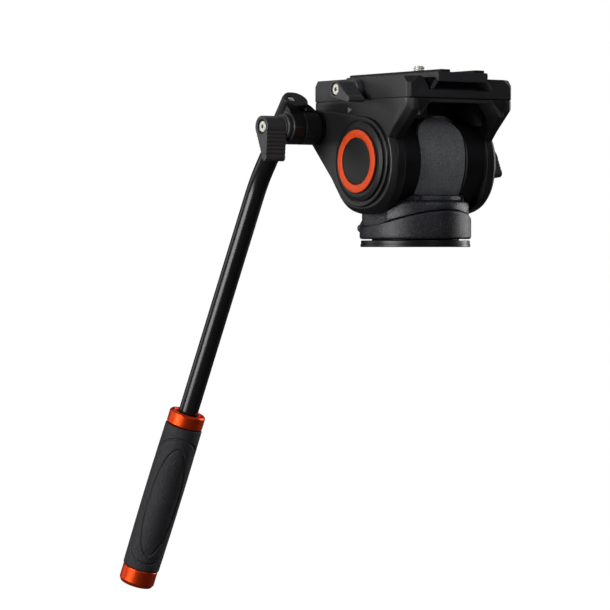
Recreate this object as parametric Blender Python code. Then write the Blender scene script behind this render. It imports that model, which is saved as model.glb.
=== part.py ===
"""Fluid video head with a flat 60 mm base, a two-cheek tilt cradle, a sliding
quick-release plate and a cranked pan bar.

Frame: +Z up, -Y is the lens side, +X is the operator's left. The origin is the
centre of the base's underside, on the pan axis. All sizes below are millimetres;
MM turns them into metres."""

import math

import bmesh
import bpy
from mathutils import Vector

for old in list(bpy.data.objects):
    bpy.data.objects.remove(old, do_unlink=True)

MM = 0.001

# ---------------------------------------------------------------- dimensions
BASE_R = 30.0          # tripod flange
BASE_T = 3.3
NECK_R = 23.8          # narrow step between flange and housing
SHELL_R = 30.5         # lower housing shell
CAST_R = 29.2          # upper housing casting
CAVITY_R = 23.5
SHELL_Z0, FLOOR_Z, CAVITY_Z = 4.3, 7.5, 17.0
DECK_Z, NECK_TOP_Z = 25.2, 28.0
SEAM_MID, SEAM_AMP, SEAM_LOW = 15.6, 4.3, 108.0   # wavy seam round the housing
TILT_Z = 46.3          # tilt axis, parallel to X, through Y = 0
TOWER_X = 15.2         # half width of the tower between the cheeks
TOWER_BORE = 13.0
DISC_R = 26.2          # inner disc of each cheek
DISC_X0, DISC_X1 = 15.5, 27.6
CHEEK_R = 28.3         # outer cheek plate
CHEEK_X1 = 35.6
CHAMFER = 3.0
FLAT_X = 27.2          # flats on the casting's sides
ROSETTE_Y, ROSETTE_Z, ROSETTE_R = 41.0, 65.5, 9.4
SEAM_Z = 79.5          # joint between the cradle and the plate clamp
CLAMP_TOP = 91.2
CLAMP_TOP_LEFT = 90.4   # the fixed side of the clamp is a little lower
CLAMP_Y0, CLAMP_Y1 = -41.0, 46.4
CHANNEL_Z = 84.0
PLATE_X, PLATE_Y0, PLATE_Y1 = 16.8, -42.6, 41.5
PLATE_Z0, PLATE_Z1 = 88.4, 93.6
STRIP_Z = 95.0
SCREW_Y = -3.3         # camera screw
CLAMP_KNOB_Y, CLAMP_KNOB_Z = 4.5, 85.0
PAN_KNOB_Z = 10.4
TUBE_R = 5.5
TUBE_X = -52.0
TUBE_BEND = (TUBE_X, 75.4, 36.7)
LOWER_DIR = (-0.160, 0.282, -0.946)
UPPER_DIR = (0.0, 0.613, -0.790)
COLLAR_AT, GRIP_AT, CAP_AT, HANDLE_END = 137.0, 145.2, 230.3, 240.6
GRIP_R = 10.5


# ------------------------------------------------------------------ helpers
def material(name, colour, roughness, metallic=0.0):
    mat = bpy.data.materials.new(name)
    mat.use_nodes = True
    shader = mat.node_tree.nodes["Principled BSDF"]
    shader.inputs["Base Color"].default_value = (*colour, 1.0)
    shader.inputs["Roughness"].default_value = roughness
    shader.inputs["Metallic"].default_value = metallic
    mat.diffuse_color = (*colour, 1.0)
    return mat


BLACK_CAST = ((0.022, 0.022, 0.024), 0.42, 0.0)
BLACK_COARSE = ((0.03, 0.03, 0.034), 0.5, 0.1)
BLACK_PLASTIC = ((0.018, 0.018, 0.02), 0.45, 0.0)
GREY_PANEL = ((0.085, 0.085, 0.088), 0.6, 0.0)
ORANGE = ((0.85, 0.12, 0.015), 0.35, 0.4)
RUBBER = ((0.03, 0.03, 0.03), 0.75, 0.0)
STEEL = ((0.55, 0.55, 0.56), 0.3, 1.0)
BRIGHT = ((0.75, 0.74, 0.7), 0.22, 1.0)
BRASS = ((0.6, 0.45, 0.2), 0.35, 1.0)
NYLON = ((0.75, 0.74, 0.7), 0.5, 0.0)


def empty(name, at, parent=None):
    helper = bpy.data.objects.new(name, None)
    helper.empty_display_size = 0.01
    bpy.context.scene.collection.objects.link(helper)
    world = Vector(at) * MM
    helper["at"] = tuple(world)
    if parent is not None:
        helper.parent = parent
        world = world - Vector(parent["at"])
    helper.location = world
    return helper


def axis_frame(axis):
    """Columns u, v, w: w runs along the axis, u and v span the section."""
    if axis == "Z":
        return Vector((1, 0, 0)), Vector((0, 1, 0)), Vector((0, 0, 1))
    if axis == "X":
        return Vector((0, 1, 0)), Vector((0, 0, 1)), Vector((1, 0, 0))
    if axis == "Y":
        return Vector((1, 0, 0)), Vector((0, 0, 1)), Vector((0, 1, 0))
    w = Vector(axis).normalized()
    u = Vector((1, 0, 0)) - w * w.x
    u.normalize()
    return u, w.cross(u), w


def settle(bm):
    """Faces out, whatever the order in which they were made."""
    bmesh.ops.recalc_face_normals(bm, faces=bm.faces[:])
    if bm.calc_volume(signed=True) < 0:
        bmesh.ops.reverse_faces(bm, faces=bm.faces[:])
    return bm


def loft(rings, closed=False, caps=True):
    """Skin over rings of points, all with the same count. A ring of one point
    is a pole. With closed, the last ring joins the first."""
    bm = bmesh.new()
    made = [[bm.verts.new(Vector(p) * MM) for p in ring] for ring in rings]
    pairs = list(zip(made, made[1:]))
    if closed:
        pairs.append((made[-1], made[0]))
    for a, b in pairs:
        n = max(len(a), len(b))
        for i in range(n):
            j = (i + 1) % n
            if len(a) == 1:
                bm.faces.new((a[0], b[i], b[j]))
            elif len(b) == 1:
                bm.faces.new((a[i], a[j], b[0]))
            else:
                bm.faces.new((a[i], a[j], b[j], b[i]))
    if caps and not closed:
        for ring in (made[0], made[-1]):
            if len(ring) > 2:
                bm.faces.new(ring)
    return settle(bm)


def circle(radius, segs, turn=0.0):
    return [
        (radius * math.cos(turn + 2 * math.pi * i / segs),
         radius * math.sin(turn + 2 * math.pi * i / segs))
        for i in range(segs)
    ]


def lathe(profile, axis="Z", centre=(0, 0, 0), segs=48):
    """Turns (radius, height) points about an axis. A profile that starts and
    ends off the axis is a ring; one that starts or ends at radius 0 is solid."""
    u, v, w = axis_frame(axis)
    c = Vector(centre)
    rings = []
    for radius, height in profile:
        if radius == 0:
            rings.append([c + w * height])
        else:
            rings.append([c + u * x + v * y + w * height for x, y in circle(radius, segs)])
    solid = profile[0][0] == 0 or profile[-1][0] == 0
    return loft(rings, closed=not solid)


def rod(radius, lo, hi, axis="Z", centre=(0, 0, 0), segs=32, edge=0.0):
    if edge:
        profile = [(0, lo), (radius - edge, lo), (radius, lo + edge),
                   (radius, hi - edge), (radius - edge, hi), (0, hi)]
    else:
        profile = [(0, lo), (radius, lo), (radius, hi), (0, hi)]
    return lathe(profile, axis, centre, segs)


def ring(inner, outer, lo, hi, axis="Z", centre=(0, 0, 0), segs=40):
    return lathe([(inner, lo), (outer, lo), (outer, hi), (inner, hi)], axis, centre, segs)


def prism(outline, axis, lo, hi):
    """Extrudes a 2D outline. For axis X the outline is (Y, Z), for Y (X, Z), for Z (X, Y)."""
    return sections([(outline, lo), (outline, hi)], axis)


def sections(stack, axis, centre=(0, 0, 0)):
    u, v, w = axis_frame(axis)
    c = Vector(centre)
    return loft([[c + u * x + v * y + w * h for x, y in outline] for outline, h in stack])


def box(x0, x1, y0, y1, z0, z1):
    return prism([(x0, y0), (x1, y0), (x1, y1), (x0, y1)], "Z", z0, z1)


def rounded(x0, x1, y0, y1, r, steps=4):
    """Rectangle with round corners."""
    points = []
    for cx, cy, a0 in ((x1 - r, y0 + r, -90), (x1 - r, y1 - r, 0), (x0 + r, y1 - r, 90), (x0 + r, y0 + r, 180)):
        for i in range(steps + 1):
            a = math.radians(a0 + 90 * i / steps)
            points.append((cx + r * math.cos(a), cy + r * math.sin(a)))
    return points


def inset(outline, distance):
    """Moves each side of a counter-clockwise outline inwards."""
    n = len(outline)
    result = []
    for i in range(n):
        p0, p1, p2 = outline[i - 1], outline[i], outline[(i + 1) % n]
        d1 = Vector((p1[0] - p0[0], p1[1] - p0[1])).normalized()
        d2 = Vector((p2[0] - p1[0], p2[1] - p1[1])).normalized()
        n1, n2 = Vector((-d1.y, d1.x)), Vector((-d2.y, d2.x))
        mid = (n1 + n2).normalized()
        scale = distance / max(0.35, mid.dot(n1))
        result.append((p1[0] + mid.x * scale, p1[1] + mid.y * scale))
    return result


def hull(points):
    """Convex outline round 2D points, counter-clockwise."""
    points = sorted(set((round(x, 6), round(y, 6)) for x, y in points))

    def chain(run):
        out = []
        for p in run:
            while len(out) > 1 and (out[-1][0] - out[-2][0]) * (p[1] - out[-2][1]) - (
                out[-1][1] - out[-2][1]
            ) * (p[0] - out[-2][0]) <= 1e-9:
                out.pop()
            out.append(p)
        return out[:-1]

    return chain(points) + chain(points[::-1])


def shifted(outline, dx, dy):
    return [(x + dx, y + dy) for x, y in outline]


def teardrop(hub, tip, tip_at, segs=20):
    """Outline of a wing knob: a hub circle at the origin and a small tip circle."""
    return hull(circle(hub, segs) + shifted(circle(tip, 8), *tip_at))


def trim(bm, point, normal):
    """Removes what lies beyond a plane and closes the cut."""
    cut = bmesh.ops.bisect_plane(
        bm, geom=bm.verts[:] + bm.edges[:] + bm.faces[:], dist=1e-7,
        plane_co=Vector(point) * MM, plane_no=Vector(normal), clear_outer=True,
    )
    edges = [g for g in cut["geom_cut"] if isinstance(g, bmesh.types.BMEdge)]
    bmesh.ops.edgeloop_fill(bm, edges=edges)
    return settle(bm)


def finish_mesh(bm, name):
    mesh = bpy.data.meshes.new(name)
    bm.to_mesh(mesh)
    bm.free()
    mesh.shade_smooth()
    mesh.set_sharp_from_angle(angle=math.radians(28))
    return mesh


def piece(name, bm, look, parent=None):
    """One named sub-part, with its own material and its origin on its parent's axis."""
    if parent is not None:
        bmesh.ops.translate(bm, verts=bm.verts[:], vec=-Vector(parent["at"]))
    obj = bpy.data.objects.new(name, finish_mesh(bm, name))
    bpy.context.scene.collection.objects.link(obj)
    obj.parent = parent
    obj.data.materials.append(material(name, *look))
    return obj


def tool(target, bm, operation):
    """A hidden solid that cuts, joins or bounds the target."""
    if target.parent is not None:
        bmesh.ops.translate(bm, verts=bm.verts[:], vec=-Vector(target.parent["at"]))
    name = "%s_%s_%d" % (target.name, operation.lower()[:3], len(target.modifiers))
    helper = bpy.data.objects.new(name, finish_mesh(bm, name))
    bpy.context.scene.collection.objects.link(helper)
    helper.parent = target.parent
    helper.hide_render = True
    helper.display_type = "WIRE"
    modifier = target.modifiers.new(name, "BOOLEAN")
    modifier.operation = operation
    modifier.solver = "EXACT"
    modifier.object = helper
    return target


def cut(target, *solids):
    for bm in solids:
        tool(target, bm, "DIFFERENCE")


def join(target, *solids):
    for bm in solids:
        tool(target, bm, "UNION")


def bound(target, bm):
    tool(target, bm, "INTERSECT")


# --------------------------------------------------------------- joint axes
pan_axis = empty("pan_axis", (0, 0, 0))
tilt_axis = empty("tilt_axis", (0, 0, TILT_Z), pan_axis)
pan_lock_axis = empty("pan_lock_axis", (0, 30, PAN_KNOB_Z), pan_axis)
tilt_lock_axis = empty("tilt_lock_axis", (38, 0, TILT_Z), tilt_axis)
jaw_slide = empty("jaw_slide", (-22, CLAMP_KNOB_Y, CLAMP_KNOB_Z), tilt_axis)
clamp_knob_axis = empty("clamp_knob_axis", (-36, CLAMP_KNOB_Y, CLAMP_KNOB_Z), tilt_axis)
plate_slide = empty("plate_slide", (0, 0, PLATE_Z0), tilt_axis)
screw_slide = empty("screw_slide", (0, SCREW_Y, PLATE_Z0), plate_slide)
screw_axis = empty("screw_axis", (0, SCREW_Y, PLATE_Z0), screw_slide)
handle_axis = empty("handle_axis", (-40, ROSETTE_Y, ROSETTE_Z), tilt_axis)
handle_knob_axis = empty("handle_knob_axis", (-59, ROSETTE_Y, ROSETTE_Z), handle_axis)

# ---------------------------------------------------------------- fixed base
flange = piece(
    "base_flange",
    lathe([(9.3, 0.0), (29.5, 0.0), (BASE_R, 0.5), (BASE_R, 2.8), (29.6, BASE_T), (NECK_R, BASE_T),
           (NECK_R, 4.2), (16.8, 4.2), (16.8, 4.7), (9.3, 4.7)], segs=36),
    BLACK_CAST,
)
BASE_SCREW_AT = [(14.2 * math.cos(math.radians(a)), 14.2 * math.sin(math.radians(a))) for a in (90, 210, 330)]
for x, y in BASE_SCREW_AT:
    cut(flange, lathe([(0, -1), (3.7, -1), (3.2, 0.2), (1.8, 1.8), (1.8, 6), (0, 6)], centre=(x, y, 0), segs=8))

piece("thread_insert", ring(4.76, 6.6, 0.8, 12.6, segs=16), BRASS)

spindle = piece(
    "pan_spindle",
    lathe([(0, 0.8), (9.0, 0.8), (9.0, 4.8), (17.0, 4.8), (17.0, 7.4), (8.9, 7.4), (8.9, 16.4), (0, 16.4)], segs=16),
    STEEL,
)
# The outside is turned solid, then bored from below for the threaded insert.
cut(spindle, rod(6.9, -1, 13.1, segs=16))
for x, y in BASE_SCREW_AT:
    cut(spindle, rod(1.8, 4.0, 7.0, centre=(x, y, 0), segs=8))
for i, (x, y) in enumerate(BASE_SCREW_AT, 1):
    piece("base_screw_%d" % i,
          lathe([(0, 0.9), (1.0, 0.9), (1.0, 0.3), (2.75, 0.3), (1.45, 1.9), (1.45, 6.7), (0, 6.7)],
                centre=(x, y, 0), segs=8), STEEL)
piece("pan_brake_drum", ring(9.2, 21.0, 7.9, 11.9, segs=16), STEEL)
piece("pan_bearing", ring(9.2, 14.5, 12.2, 13.7, segs=16), NYLON)
piece("pan_retaining_nut",
      loft([[(r * math.cos(math.radians(a)), r * math.sin(math.radians(a)), z) for a in range(0, 360, 15)]
            for r, z in ((9.2, 14.0), (9.2, 16.6))] +
           [[(s * math.cos(math.radians(a)), s * math.sin(math.radians(a)), z)
             for a in range(0, 360, 15)
             for s in (13.0 / math.cos(math.radians((a + 30) % 60 - 30)),)]
            for z in (16.6, 14.0)], closed=True), STEEL)


# ---------------------------------------------------------------- pan housing
def seam_height(angle):
    """Height of the wavy seam at a world angle: high at the front and the back, low at the sides."""
    phi = abs((math.degrees(angle) + 90 + 180) % 360 - 180)
    if phi < SEAM_LOW:
        return SEAM_MID + SEAM_AMP * math.cos(math.pi * phi / SEAM_LOW)
    return SEAM_MID - SEAM_AMP * math.cos(math.pi * (phi - SEAM_LOW) / (180 - SEAM_LOW))


def triangulated(bm):
    """The wavy rings' quads aren't flat, so they are split before anything cuts them."""
    bmesh.ops.triangulate(bm, faces=bm.faces[:])
    return bm


def housing_ring(radius, height, segs=32):
    points = []
    for i in range(segs):
        a = 2 * math.pi * i / segs
        z = seam_height(a) + height[1] if isinstance(height, tuple) else height
        points.append((radius * math.cos(a), radius * math.sin(a), z))
    return points


S = "seam"
lower_shell = piece(
    "pan_lower_shell",
    loft([housing_ring(17.4, SHELL_Z0), housing_ring(29.7, SHELL_Z0), housing_ring(SHELL_R, SHELL_Z0 + 0.8),
          housing_ring(SHELL_R, (S, -0.6)), housing_ring(SHELL_R - 0.6, (S, 0.0)), housing_ring(CAVITY_R, (S, 0.0)),
          housing_ring(CAVITY_R, FLOOR_Z), housing_ring(17.4, FLOOR_Z)], closed=True),
    BLACK_COARSE, pan_axis,
)
cut(lower_shell, rod(2.8, 20, 34, "Y", (0, 0, PAN_KNOB_Z), segs=12))

# Upper casting: skirt, deck, neck and the tower that carries the tilt axle.
def front_depth(z):
    """How far the tower's panels stand forward of the pan axis at a height."""
    return 24.7 - (z - 48.0) ** 2 / 64.0


ARCH_Z, ARCH_TOP = 58.0, 70.2


def arch_outline(grow=0.0, bottom=28.3, steps=12):
    points = [(-TOWER_X - grow, bottom), (TOWER_X + grow, bottom)]
    for i in range(steps + 1):
        a = math.pi * i / steps
        points.append(((TOWER_X + grow) * math.cos(a), ARCH_Z + (ARCH_TOP - ARCH_Z + grow) * math.sin(a)))
    return points


upper = piece(
    "pan_upper_casting",
    triangulated(loft([[(0, 0, NECK_TOP_Z)], housing_ring(26.0, NECK_TOP_Z), housing_ring(26.6, DECK_Z + 0.3),
                       housing_ring(28.2, 24.9), housing_ring(CAST_R, 23.4), housing_ring(CAST_R, (S, 0.3)),
                       housing_ring(CAVITY_R, (S, 0.3)), housing_ring(CAVITY_R, CAVITY_Z), [(0, 0, CAVITY_Z)]])),
    BLACK_COARSE, pan_axis,
)
# Saddles in the deck, in which the cheeks' discs turn, and flat sides that clear the cheeks' plates.
for side in (-1, 1):
    cut(upper, rod(DISC_R + 0.5, *sorted((side * (TOWER_X + 0.05), side * 40)), axis="X", centre=(0, 0, TILT_Z), segs=32))
    cut(upper, box(*sorted((side * FLAT_X, side * 40)), -30, 30, 5, 40))
tower = prism(arch_outline(0.0, 24.0), "Y", -23, 23)
join(upper, tower)
# The panels' seats: the tower's front and back are cut to a bowed face 2.3 mm behind the panels.
for side in (-1, 1):
    zs = [NECK_TOP_Z + 0.001 + (75 - NECK_TOP_Z) * i / 8 for i in range(9)]
    face = [(side * (front_depth(z) - 2.3), z) for z in zs] + [(side * 32, 75), (side * 32, zs[0])]
    cut(upper, prism(face, "X", -18, 18))
cut(upper, rod(TOWER_BORE, -20, 20, "X", (0, 0, TILT_Z), segs=24))

for name, side in (("front_panel", -1), ("rear_panel", 1)):
    zs = [28.3 + (75 - 28.3) * i / 8 for i in range(9)]
    band = [(side * front_depth(z), z) for z in zs] + [(side * (front_depth(z) - 2.0), z) for z in reversed(zs)]
    panel = piece(name, prism(band, "X", -20, 20), GREY_PANEL, pan_axis)
    bound(panel, prism(arch_outline(), "Y", min(side * 14, side * 27), max(side * 14, side * 27)))

SHELL_SCREW_AT = [(26.9 * math.cos(math.radians(a)), 26.9 * math.sin(math.radians(a))) for a in (40, 140, 270)]
for x, y in SHELL_SCREW_AT:
    cut(lower_shell, lathe([(0, 3), (2.6, 3), (2.6, 7.0), (1.5, 7.0), (1.5, 25), (0, 25)], centre=(x, y, 0), segs=8))
    cut(upper, rod(1.5, 8, 19.0, centre=(x, y, 0), segs=8))
for i, (x, y) in enumerate(SHELL_SCREW_AT, 1):
    piece("shell_screw_%d" % i,
          lathe([(0, 5.6), (0.9, 5.6), (0.9, 5.0), (2.3, 5.0), (2.3, 6.7), (1.2, 6.7), (1.2, 18.6), (0, 18.6)],
                centre=(x, y, 0), segs=8), STEEL, pan_axis)
piece("pan_brake_shoe", box(-3.4, 3.4, 21.3, 23.0, 8.3, 12.4), BRASS, pan_axis)

for name, side in (("tilt_bearing_right", -1), ("tilt_bearing_left", 1)):
    piece(name, ring(5.3, 12.7, *sorted((side * 11.4, side * 14.9)), axis="X", centre=(0, 0, TILT_Z), segs=20),
          NYLON, pan_axis)
piece("tilt_damper_stator",
      lathe([(7.6, -9.6), (12.7, -9.6), (12.7, 9.6), (7.6, 9.6), (7.6, 7.6), (11.6, 7.6), (11.6, 1.6), (7.6, 1.6),
             (7.6, -1.6), (11.6, -1.6), (11.6, -7.6), (7.6, -7.6)], "X", (0, 0, TILT_Z), 16), STEEL, pan_axis)

# Pan lock: stud, brake end and wing knob at the back of the housing.
piece("pan_lock_stud", rod(2.4, 23.3, 40.6, "Y", (0, 0, PAN_KNOB_Z), segs=12, edge=0.3), STEEL, pan_lock_axis)
pan_wing = hull(circle(4.2, 20) + shifted(circle(2.2, 12), -6.9, 0) + shifted(circle(2.2, 12), 6.9, 0))
pan_knob = piece("pan_lock_knob",
                 sections([(pan_wing, 33.0), (pan_wing, 41.2), (inset(pan_wing, 0.8), 42.0)], "Y", (0, 0, PAN_KNOB_Z)),
                 BLACK_PLASTIC, pan_lock_axis)
join(pan_knob, rod(4.9, 30.9, 34.0, "Y", (0, 0, PAN_KNOB_Z), segs=16))
cut(pan_knob, rod(2.7, 28, 40.9, "Y", (0, 0, PAN_KNOB_Z), segs=12))


# -------------------------------------------------------------------- cradle
def arc(cy, cz, radius, a0, a1, steps):
    return [(cy + radius * math.cos(math.radians(a0 + (a1 - a0) * i / steps)),
             cz + radius * math.sin(math.radians(a0 + (a1 - a0) * i / steps))) for i in range(steps + 1)]


def cheek_radius(angle):
    """Below the axis the cheek is a little fuller than a circle, in front and behind."""
    return (CHEEK_R + 1.5 * math.exp(-((angle - 224) / 25) ** 2)
            + 2.7 * math.exp(-((angle - 322) / 32) ** 2))


def cheek_outline(top):
    """Counter-clockwise (Y, Z) outline: round below, flared to the platform in front, rosette boss behind."""
    below = [arc(0, TILT_Z, cheek_radius(a), a, a, 1)[0] for a in range(156, 319, 9)]
    bow = [(36.2, 41.9), (41.5, 48.7), (46.4, 55.0)]
    rear = arc(ROSETTE_Y, ROSETTE_Z, 10.0, -30, 52, 5)
    return below + bow + rear + [(47.0, 73.8), (47.0, top), (-41.6, top), (-41.6, 73.4), (-29.6, 62.0)]


for name, side in (("right_cheek", -1), ("left_cheek", 1)):
    outer = cheek_outline(SEAM_Z - 0.3)
    face = inset(cheek_outline(SEAM_Z - 0.3 + CHAMFER), CHAMFER)
    cheek = piece(
        name, sections([(outer, side * DISC_X1), (outer, side * (CHEEK_X1 - CHAMFER)), (face, side * CHEEK_X1)], "X"),
        BLACK_CAST, tilt_axis)
    # Gusset that widens the flare inwards under the platform, in front and behind.
    for y0, y1 in ((-41.6, -27.5), (29.0, 47.0)):
        join(cheek, prism([(side * 20.0, 79.2), (side * 27.6, 70.2), (side * 28.6, 70.2), (side * 28.6, 79.2)]
                          if side > 0 else
                          [(-28.6, 79.2), (-28.6, 70.2), (-27.6, 70.2), (-20.0, 79.2)], "Y", y0, y1))
    join(cheek, rod(DISC_R, *sorted((side * DISC_X0, side * (DISC_X1 + 1))), axis="X", centre=(0, 0, TILT_Z), segs=28))
    join(cheek, rod(9.9, *sorted((side * 30.0, side * 37.0)), axis="X", centre=(0, ROSETTE_Y, ROSETTE_Z), segs=20))
    # Raised field that runs from the tilt axis to the rosette.
    field = hull(shifted(circle(24.3, 24), 0, TILT_Z) + shifted(circle(24.0, 24), 1.6, TILT_Z - 0.9)
                 + shifted(circle(9.9, 16), ROSETTE_Y, ROSETTE_Z))
    join(cheek, sections([(field, side * 34.0), (field, side * 36.6), (inset(field, 0.7), side * 37.2)], "X"))
    cut(cheek, rod(5.3, *sorted((side * 14, side * 33.6)), axis="X", centre=(0, 0, TILT_Z), segs=16))
    cut(cheek, rod(7.3, *sorted((side * 35.8, side * 39)), axis="X", centre=(0, ROSETTE_Y, ROSETTE_Z), segs=12))
    if side > 0:
        cut(cheek, rod(4.0, 32.7, 40, "X", (0, 0, TILT_Z), segs=12))

CLEAR_R = 27.0
platform_outline = [(-26.7, 79.2), (-26.7, 77.4), (26.7, 77.4), (26.7, 79.2)]
platform = piece("cradle_platform", prism(platform_outline, "Y", -40.6, 46.0), BLACK_CAST, tilt_axis)
for side in (-1, 1):
    rib = [(side * 15.8, 78.2), (side * 26.7, 78.2), (side * 26.7, 66.0), (side * 25.0, 66.0), (side * 20.0, 72.6)]
    rib = rib if side > 0 else rib[::-1]
    join(platform, prism(rib, "Y", -25.0, 27.0))
    for y0, y1 in ((-42.0, -27.2), (28.7, 48.0)):
        wedge = [(side * 19.6, 79.6), (side * 27.9, 69.8), (side * 30, 69.8), (side * 30, 79.6)]
        cut(platform, prism(wedge if side > 0 else wedge[::-1], "Y", y0, y1))
cut(platform, rod(CLEAR_R, -30, 30, "X", (0, 0, TILT_Z), segs=40))
# Small tab under the middle of the platform, in front of the tower.
join(platform, prism([(-4.9, 77.9), (-3.4, 71.6), (3.4, 71.6), (4.6, 77.9)], "Y", -18.0, -15.9))

PLATFORM_SCREW_AT = [(-12, -34), (12, -34), (-12, 38), (12, 38)]
for x, y in PLATFORM_SCREW_AT:
    cut(platform, lathe([(0, 76), (3.2, 76), (3.2, 77.5), (1.9, 78.9), (1.9, 85), (0, 85)], centre=(x, y, 0), segs=8))

axle = piece("tilt_axle",
             lathe([(0, -33.0), (4.5, -33.0), (5.0, -32.5), (5.0, 33.2), (3.6, 33.2), (3.6, 47.5), (3.2, 48.0),
                    (0, 48.0)], "X", (0, 0, TILT_Z), 16), STEEL, tilt_axis)
piece("tilt_damper_rotor",
      lathe([(5.3, -9.4), (6.9, -9.4), (6.9, -5.2), (11.1, -5.2), (11.1, -4.0), (6.9, -4.0), (6.9, 4.0), (11.1, 4.0),
             (11.1, 5.2), (6.9, 5.2), (6.9, 9.4), (5.3, 9.4)], "X", (0, 0, TILT_Z), 16), BRASS, tilt_axis)

piece("right_side_cap",
      lathe([(0, -37.5), (21.6, -37.5), (21.6, -38.1), (19.4, -39.0), (0, -39.0)],
            "X", (0, 0, TILT_Z), 28), BLACK_PLASTIC, tilt_axis)
piece("accent_ring",
      lathe([(12.8, -39.3), (17.0, -39.3), (17.0, -40.2), (16.6, -40.5), (12.8, -40.3)],
            "X", (0, 0, TILT_Z), 32), ORANGE, tilt_axis)
piece("centre_cap", rod(12.5, -40.1, -39.3, "X", (0, 0, TILT_Z), segs=32), BLACK_PLASTIC, tilt_axis)
piece("left_side_cap",
      lathe([(4.2, 37.5), (21.6, 37.5), (21.6, 38.1), (19.4, 39.0), (4.2, 39.0)],
            "X", (0, 0, TILT_Z), 28), BLACK_PLASTIC, tilt_axis)


def toothed_disc(face, back, teeth, depth, inner, outer, side, bore, boss=None):
    """Disc along X with radial teeth on one face. face is the tips' X, back the flat side's X.
    boss is the radius and X of a round spigot that stands out of the flat side."""
    n = teeth * 2
    start = [(bore, boss[1], 0), (boss[0], boss[1], 0), (boss[0], back, 0)] if boss else [(bore, back, 0)]
    rings = []
    for radius, x, tall in start + [(outer, back, 0), (outer, face, depth), (inner, face, depth * 0.6),
                                    (inner * 0.96, face, None), (bore, face, None)]:
        points = []
        for i in range(n):
            a = 2 * math.pi * i / n
            dx = (tall * (i % 2)) if tall is not None else depth * 1.3
            points.append((x - side * dx if tall != 0 else x,
                           ROSETTE_Y + radius * math.cos(a), ROSETTE_Z + radius * math.sin(a)))
        rings.append(points)
    return loft(rings, closed=True)


for name, side in (("right_rosette", -1), ("left_rosette", 1)):
    piece(name, toothed_disc(side * 39.5, side * 37.4, 12, 0.8, 6.0, ROSETTE_R, side, 3.3, (6.8, side * 36.1)),
          STEEL, tilt_axis)

# Plate clamp on top of the cradle.
clamp_outline = [(-35.6, 79.8), (35.6, 79.8), (35.6, CLAMP_TOP_LEFT), (18.2, CLAMP_TOP_LEFT), (18.2, 90.0), (21.2, 85.0),
                 (21.2, CHANNEL_Z), (-22.0, CHANNEL_Z), (-22.0, 85.5), (-24.9, 89.8), (-26.9, CLAMP_TOP),
                 (-35.6, CLAMP_TOP)]
clamp_bm = prism(clamp_outline, "Y", CLAMP_Y0, CLAMP_Y1)
for sx in (-1, 1):
    for y, sy in ((CLAMP_Y0, -1), (CLAMP_Y1, 1)):
        trim(clamp_bm, (sx * (CHEEK_X1 - 2.0), y, 85), (sx, sy, 0))
        top = CLAMP_TOP if sx < 0 else CLAMP_TOP_LEFT
        a = Vector((sx * 28.9, y, top))
        b = Vector((sx * CHEEK_X1, y - sy * 4.4, top))
        c = Vector((sx * CHEEK_X1, y, top - 5.5))
        normal = (b - a).cross(c - a)
        if normal.z < 0:
            normal = -normal
        trim(clamp_bm, a, normal)
clamp_body = piece("clamp_body", clamp_bm, BLACK_CAST, tilt_axis)
cut(clamp_body, box(-31.4, -19.0, -4.5, 13.5, 81.2, 95))
cut(clamp_body, rod(3.0, -40, -30, "X", (0, CLAMP_KNOB_Y, CLAMP_KNOB_Z), segs=12))
for x, y in PLATFORM_SCREW_AT:
    cut(clamp_body, rod(1.7, 70, 83.0, centre=(x, y, 0), segs=8))
for i, (x, y) in enumerate(PLATFORM_SCREW_AT, 1):
    piece("platform_screw_%d" % i,
          lathe([(0, 78.2), (1.0, 78.2), (1.0, 77.6), (2.8, 77.6), (1.4, 79.0), (1.4, 82.6), (0, 82.6)],
                centre=(x, y, 0), segs=8), STEEL, tilt_axis)

jaw = piece("clamp_jaw",
            prism([(-20.0, 86.4), (-17.7, 89.7), (-17.7, 90.6), (-23.4, 90.6), (-23.4, 89.6), (-21.1, 86.4)],
                  "Y", -40.4, 42.0), STEEL, jaw_slide)
join(jaw, box(-28.8, -21.9, -3.2, 12.2, 81.6, 87.4), box(-24.0, -20.6, -3.2, 12.2, 85.6, 88.6))
cut(jaw, rod(2.6, -32, -23.5, "X", (0, CLAMP_KNOB_Y, CLAMP_KNOB_Z), segs=12))


def wing_knob(name, axis_yz, x_wall, x_near, x_far, hub, tip, tip_at, collar, look, parent, segs=20):
    """Wing knob on an axis parallel to X: a collar at the wall, then a ribbed wing."""
    y, z = axis_yz
    s = -1 if x_far < x_near else 1
    outline = shifted(teardrop(hub, tip, tip_at, segs), y, z)
    small = inset(outline, 0.5)
    knob = piece(name, sections([(small, x_near), (outline, x_near + s * 0.5), (outline, x_far - s * 0.5),
                                 (small, x_far)], "X"), look, parent)
    join(knob, rod(collar, *sorted((x_wall, x_near + s * 0.9)), axis="X", centre=(0, y, z), segs=12))
    cut(knob, rod(min(hub - 1.5, 4.1), *sorted((x_far - s * 2.2, x_far + s * 3)), axis="X", centre=(0, y, z), segs=12))
    cut(knob, rod(2.7, *sorted((x_wall - s * 3, x_far)), axis="X", centre=(0, y, z), segs=10))
    return knob


def knob_screw(name, axis_yz, x_tip, x_far, head, s, parent, look=BRIGHT, shank=2.4):
    """Socket screw that runs through a wing knob, its head in the knob's end."""
    y, z = axis_yz
    return piece(name, lathe([(0, x_tip), (shank, x_tip), (shank, x_far - s * 1.9), (head, x_far - s * 1.9),
                              (head, x_far - s * 0.7), (head - 0.4, x_far - s * 0.3), (1.3, x_far - s * 0.3),
                              (1.1, x_far - s * 1.6), (0, x_far - s * 1.6)], "X", (0, y, z), 10), look, parent)


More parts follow.
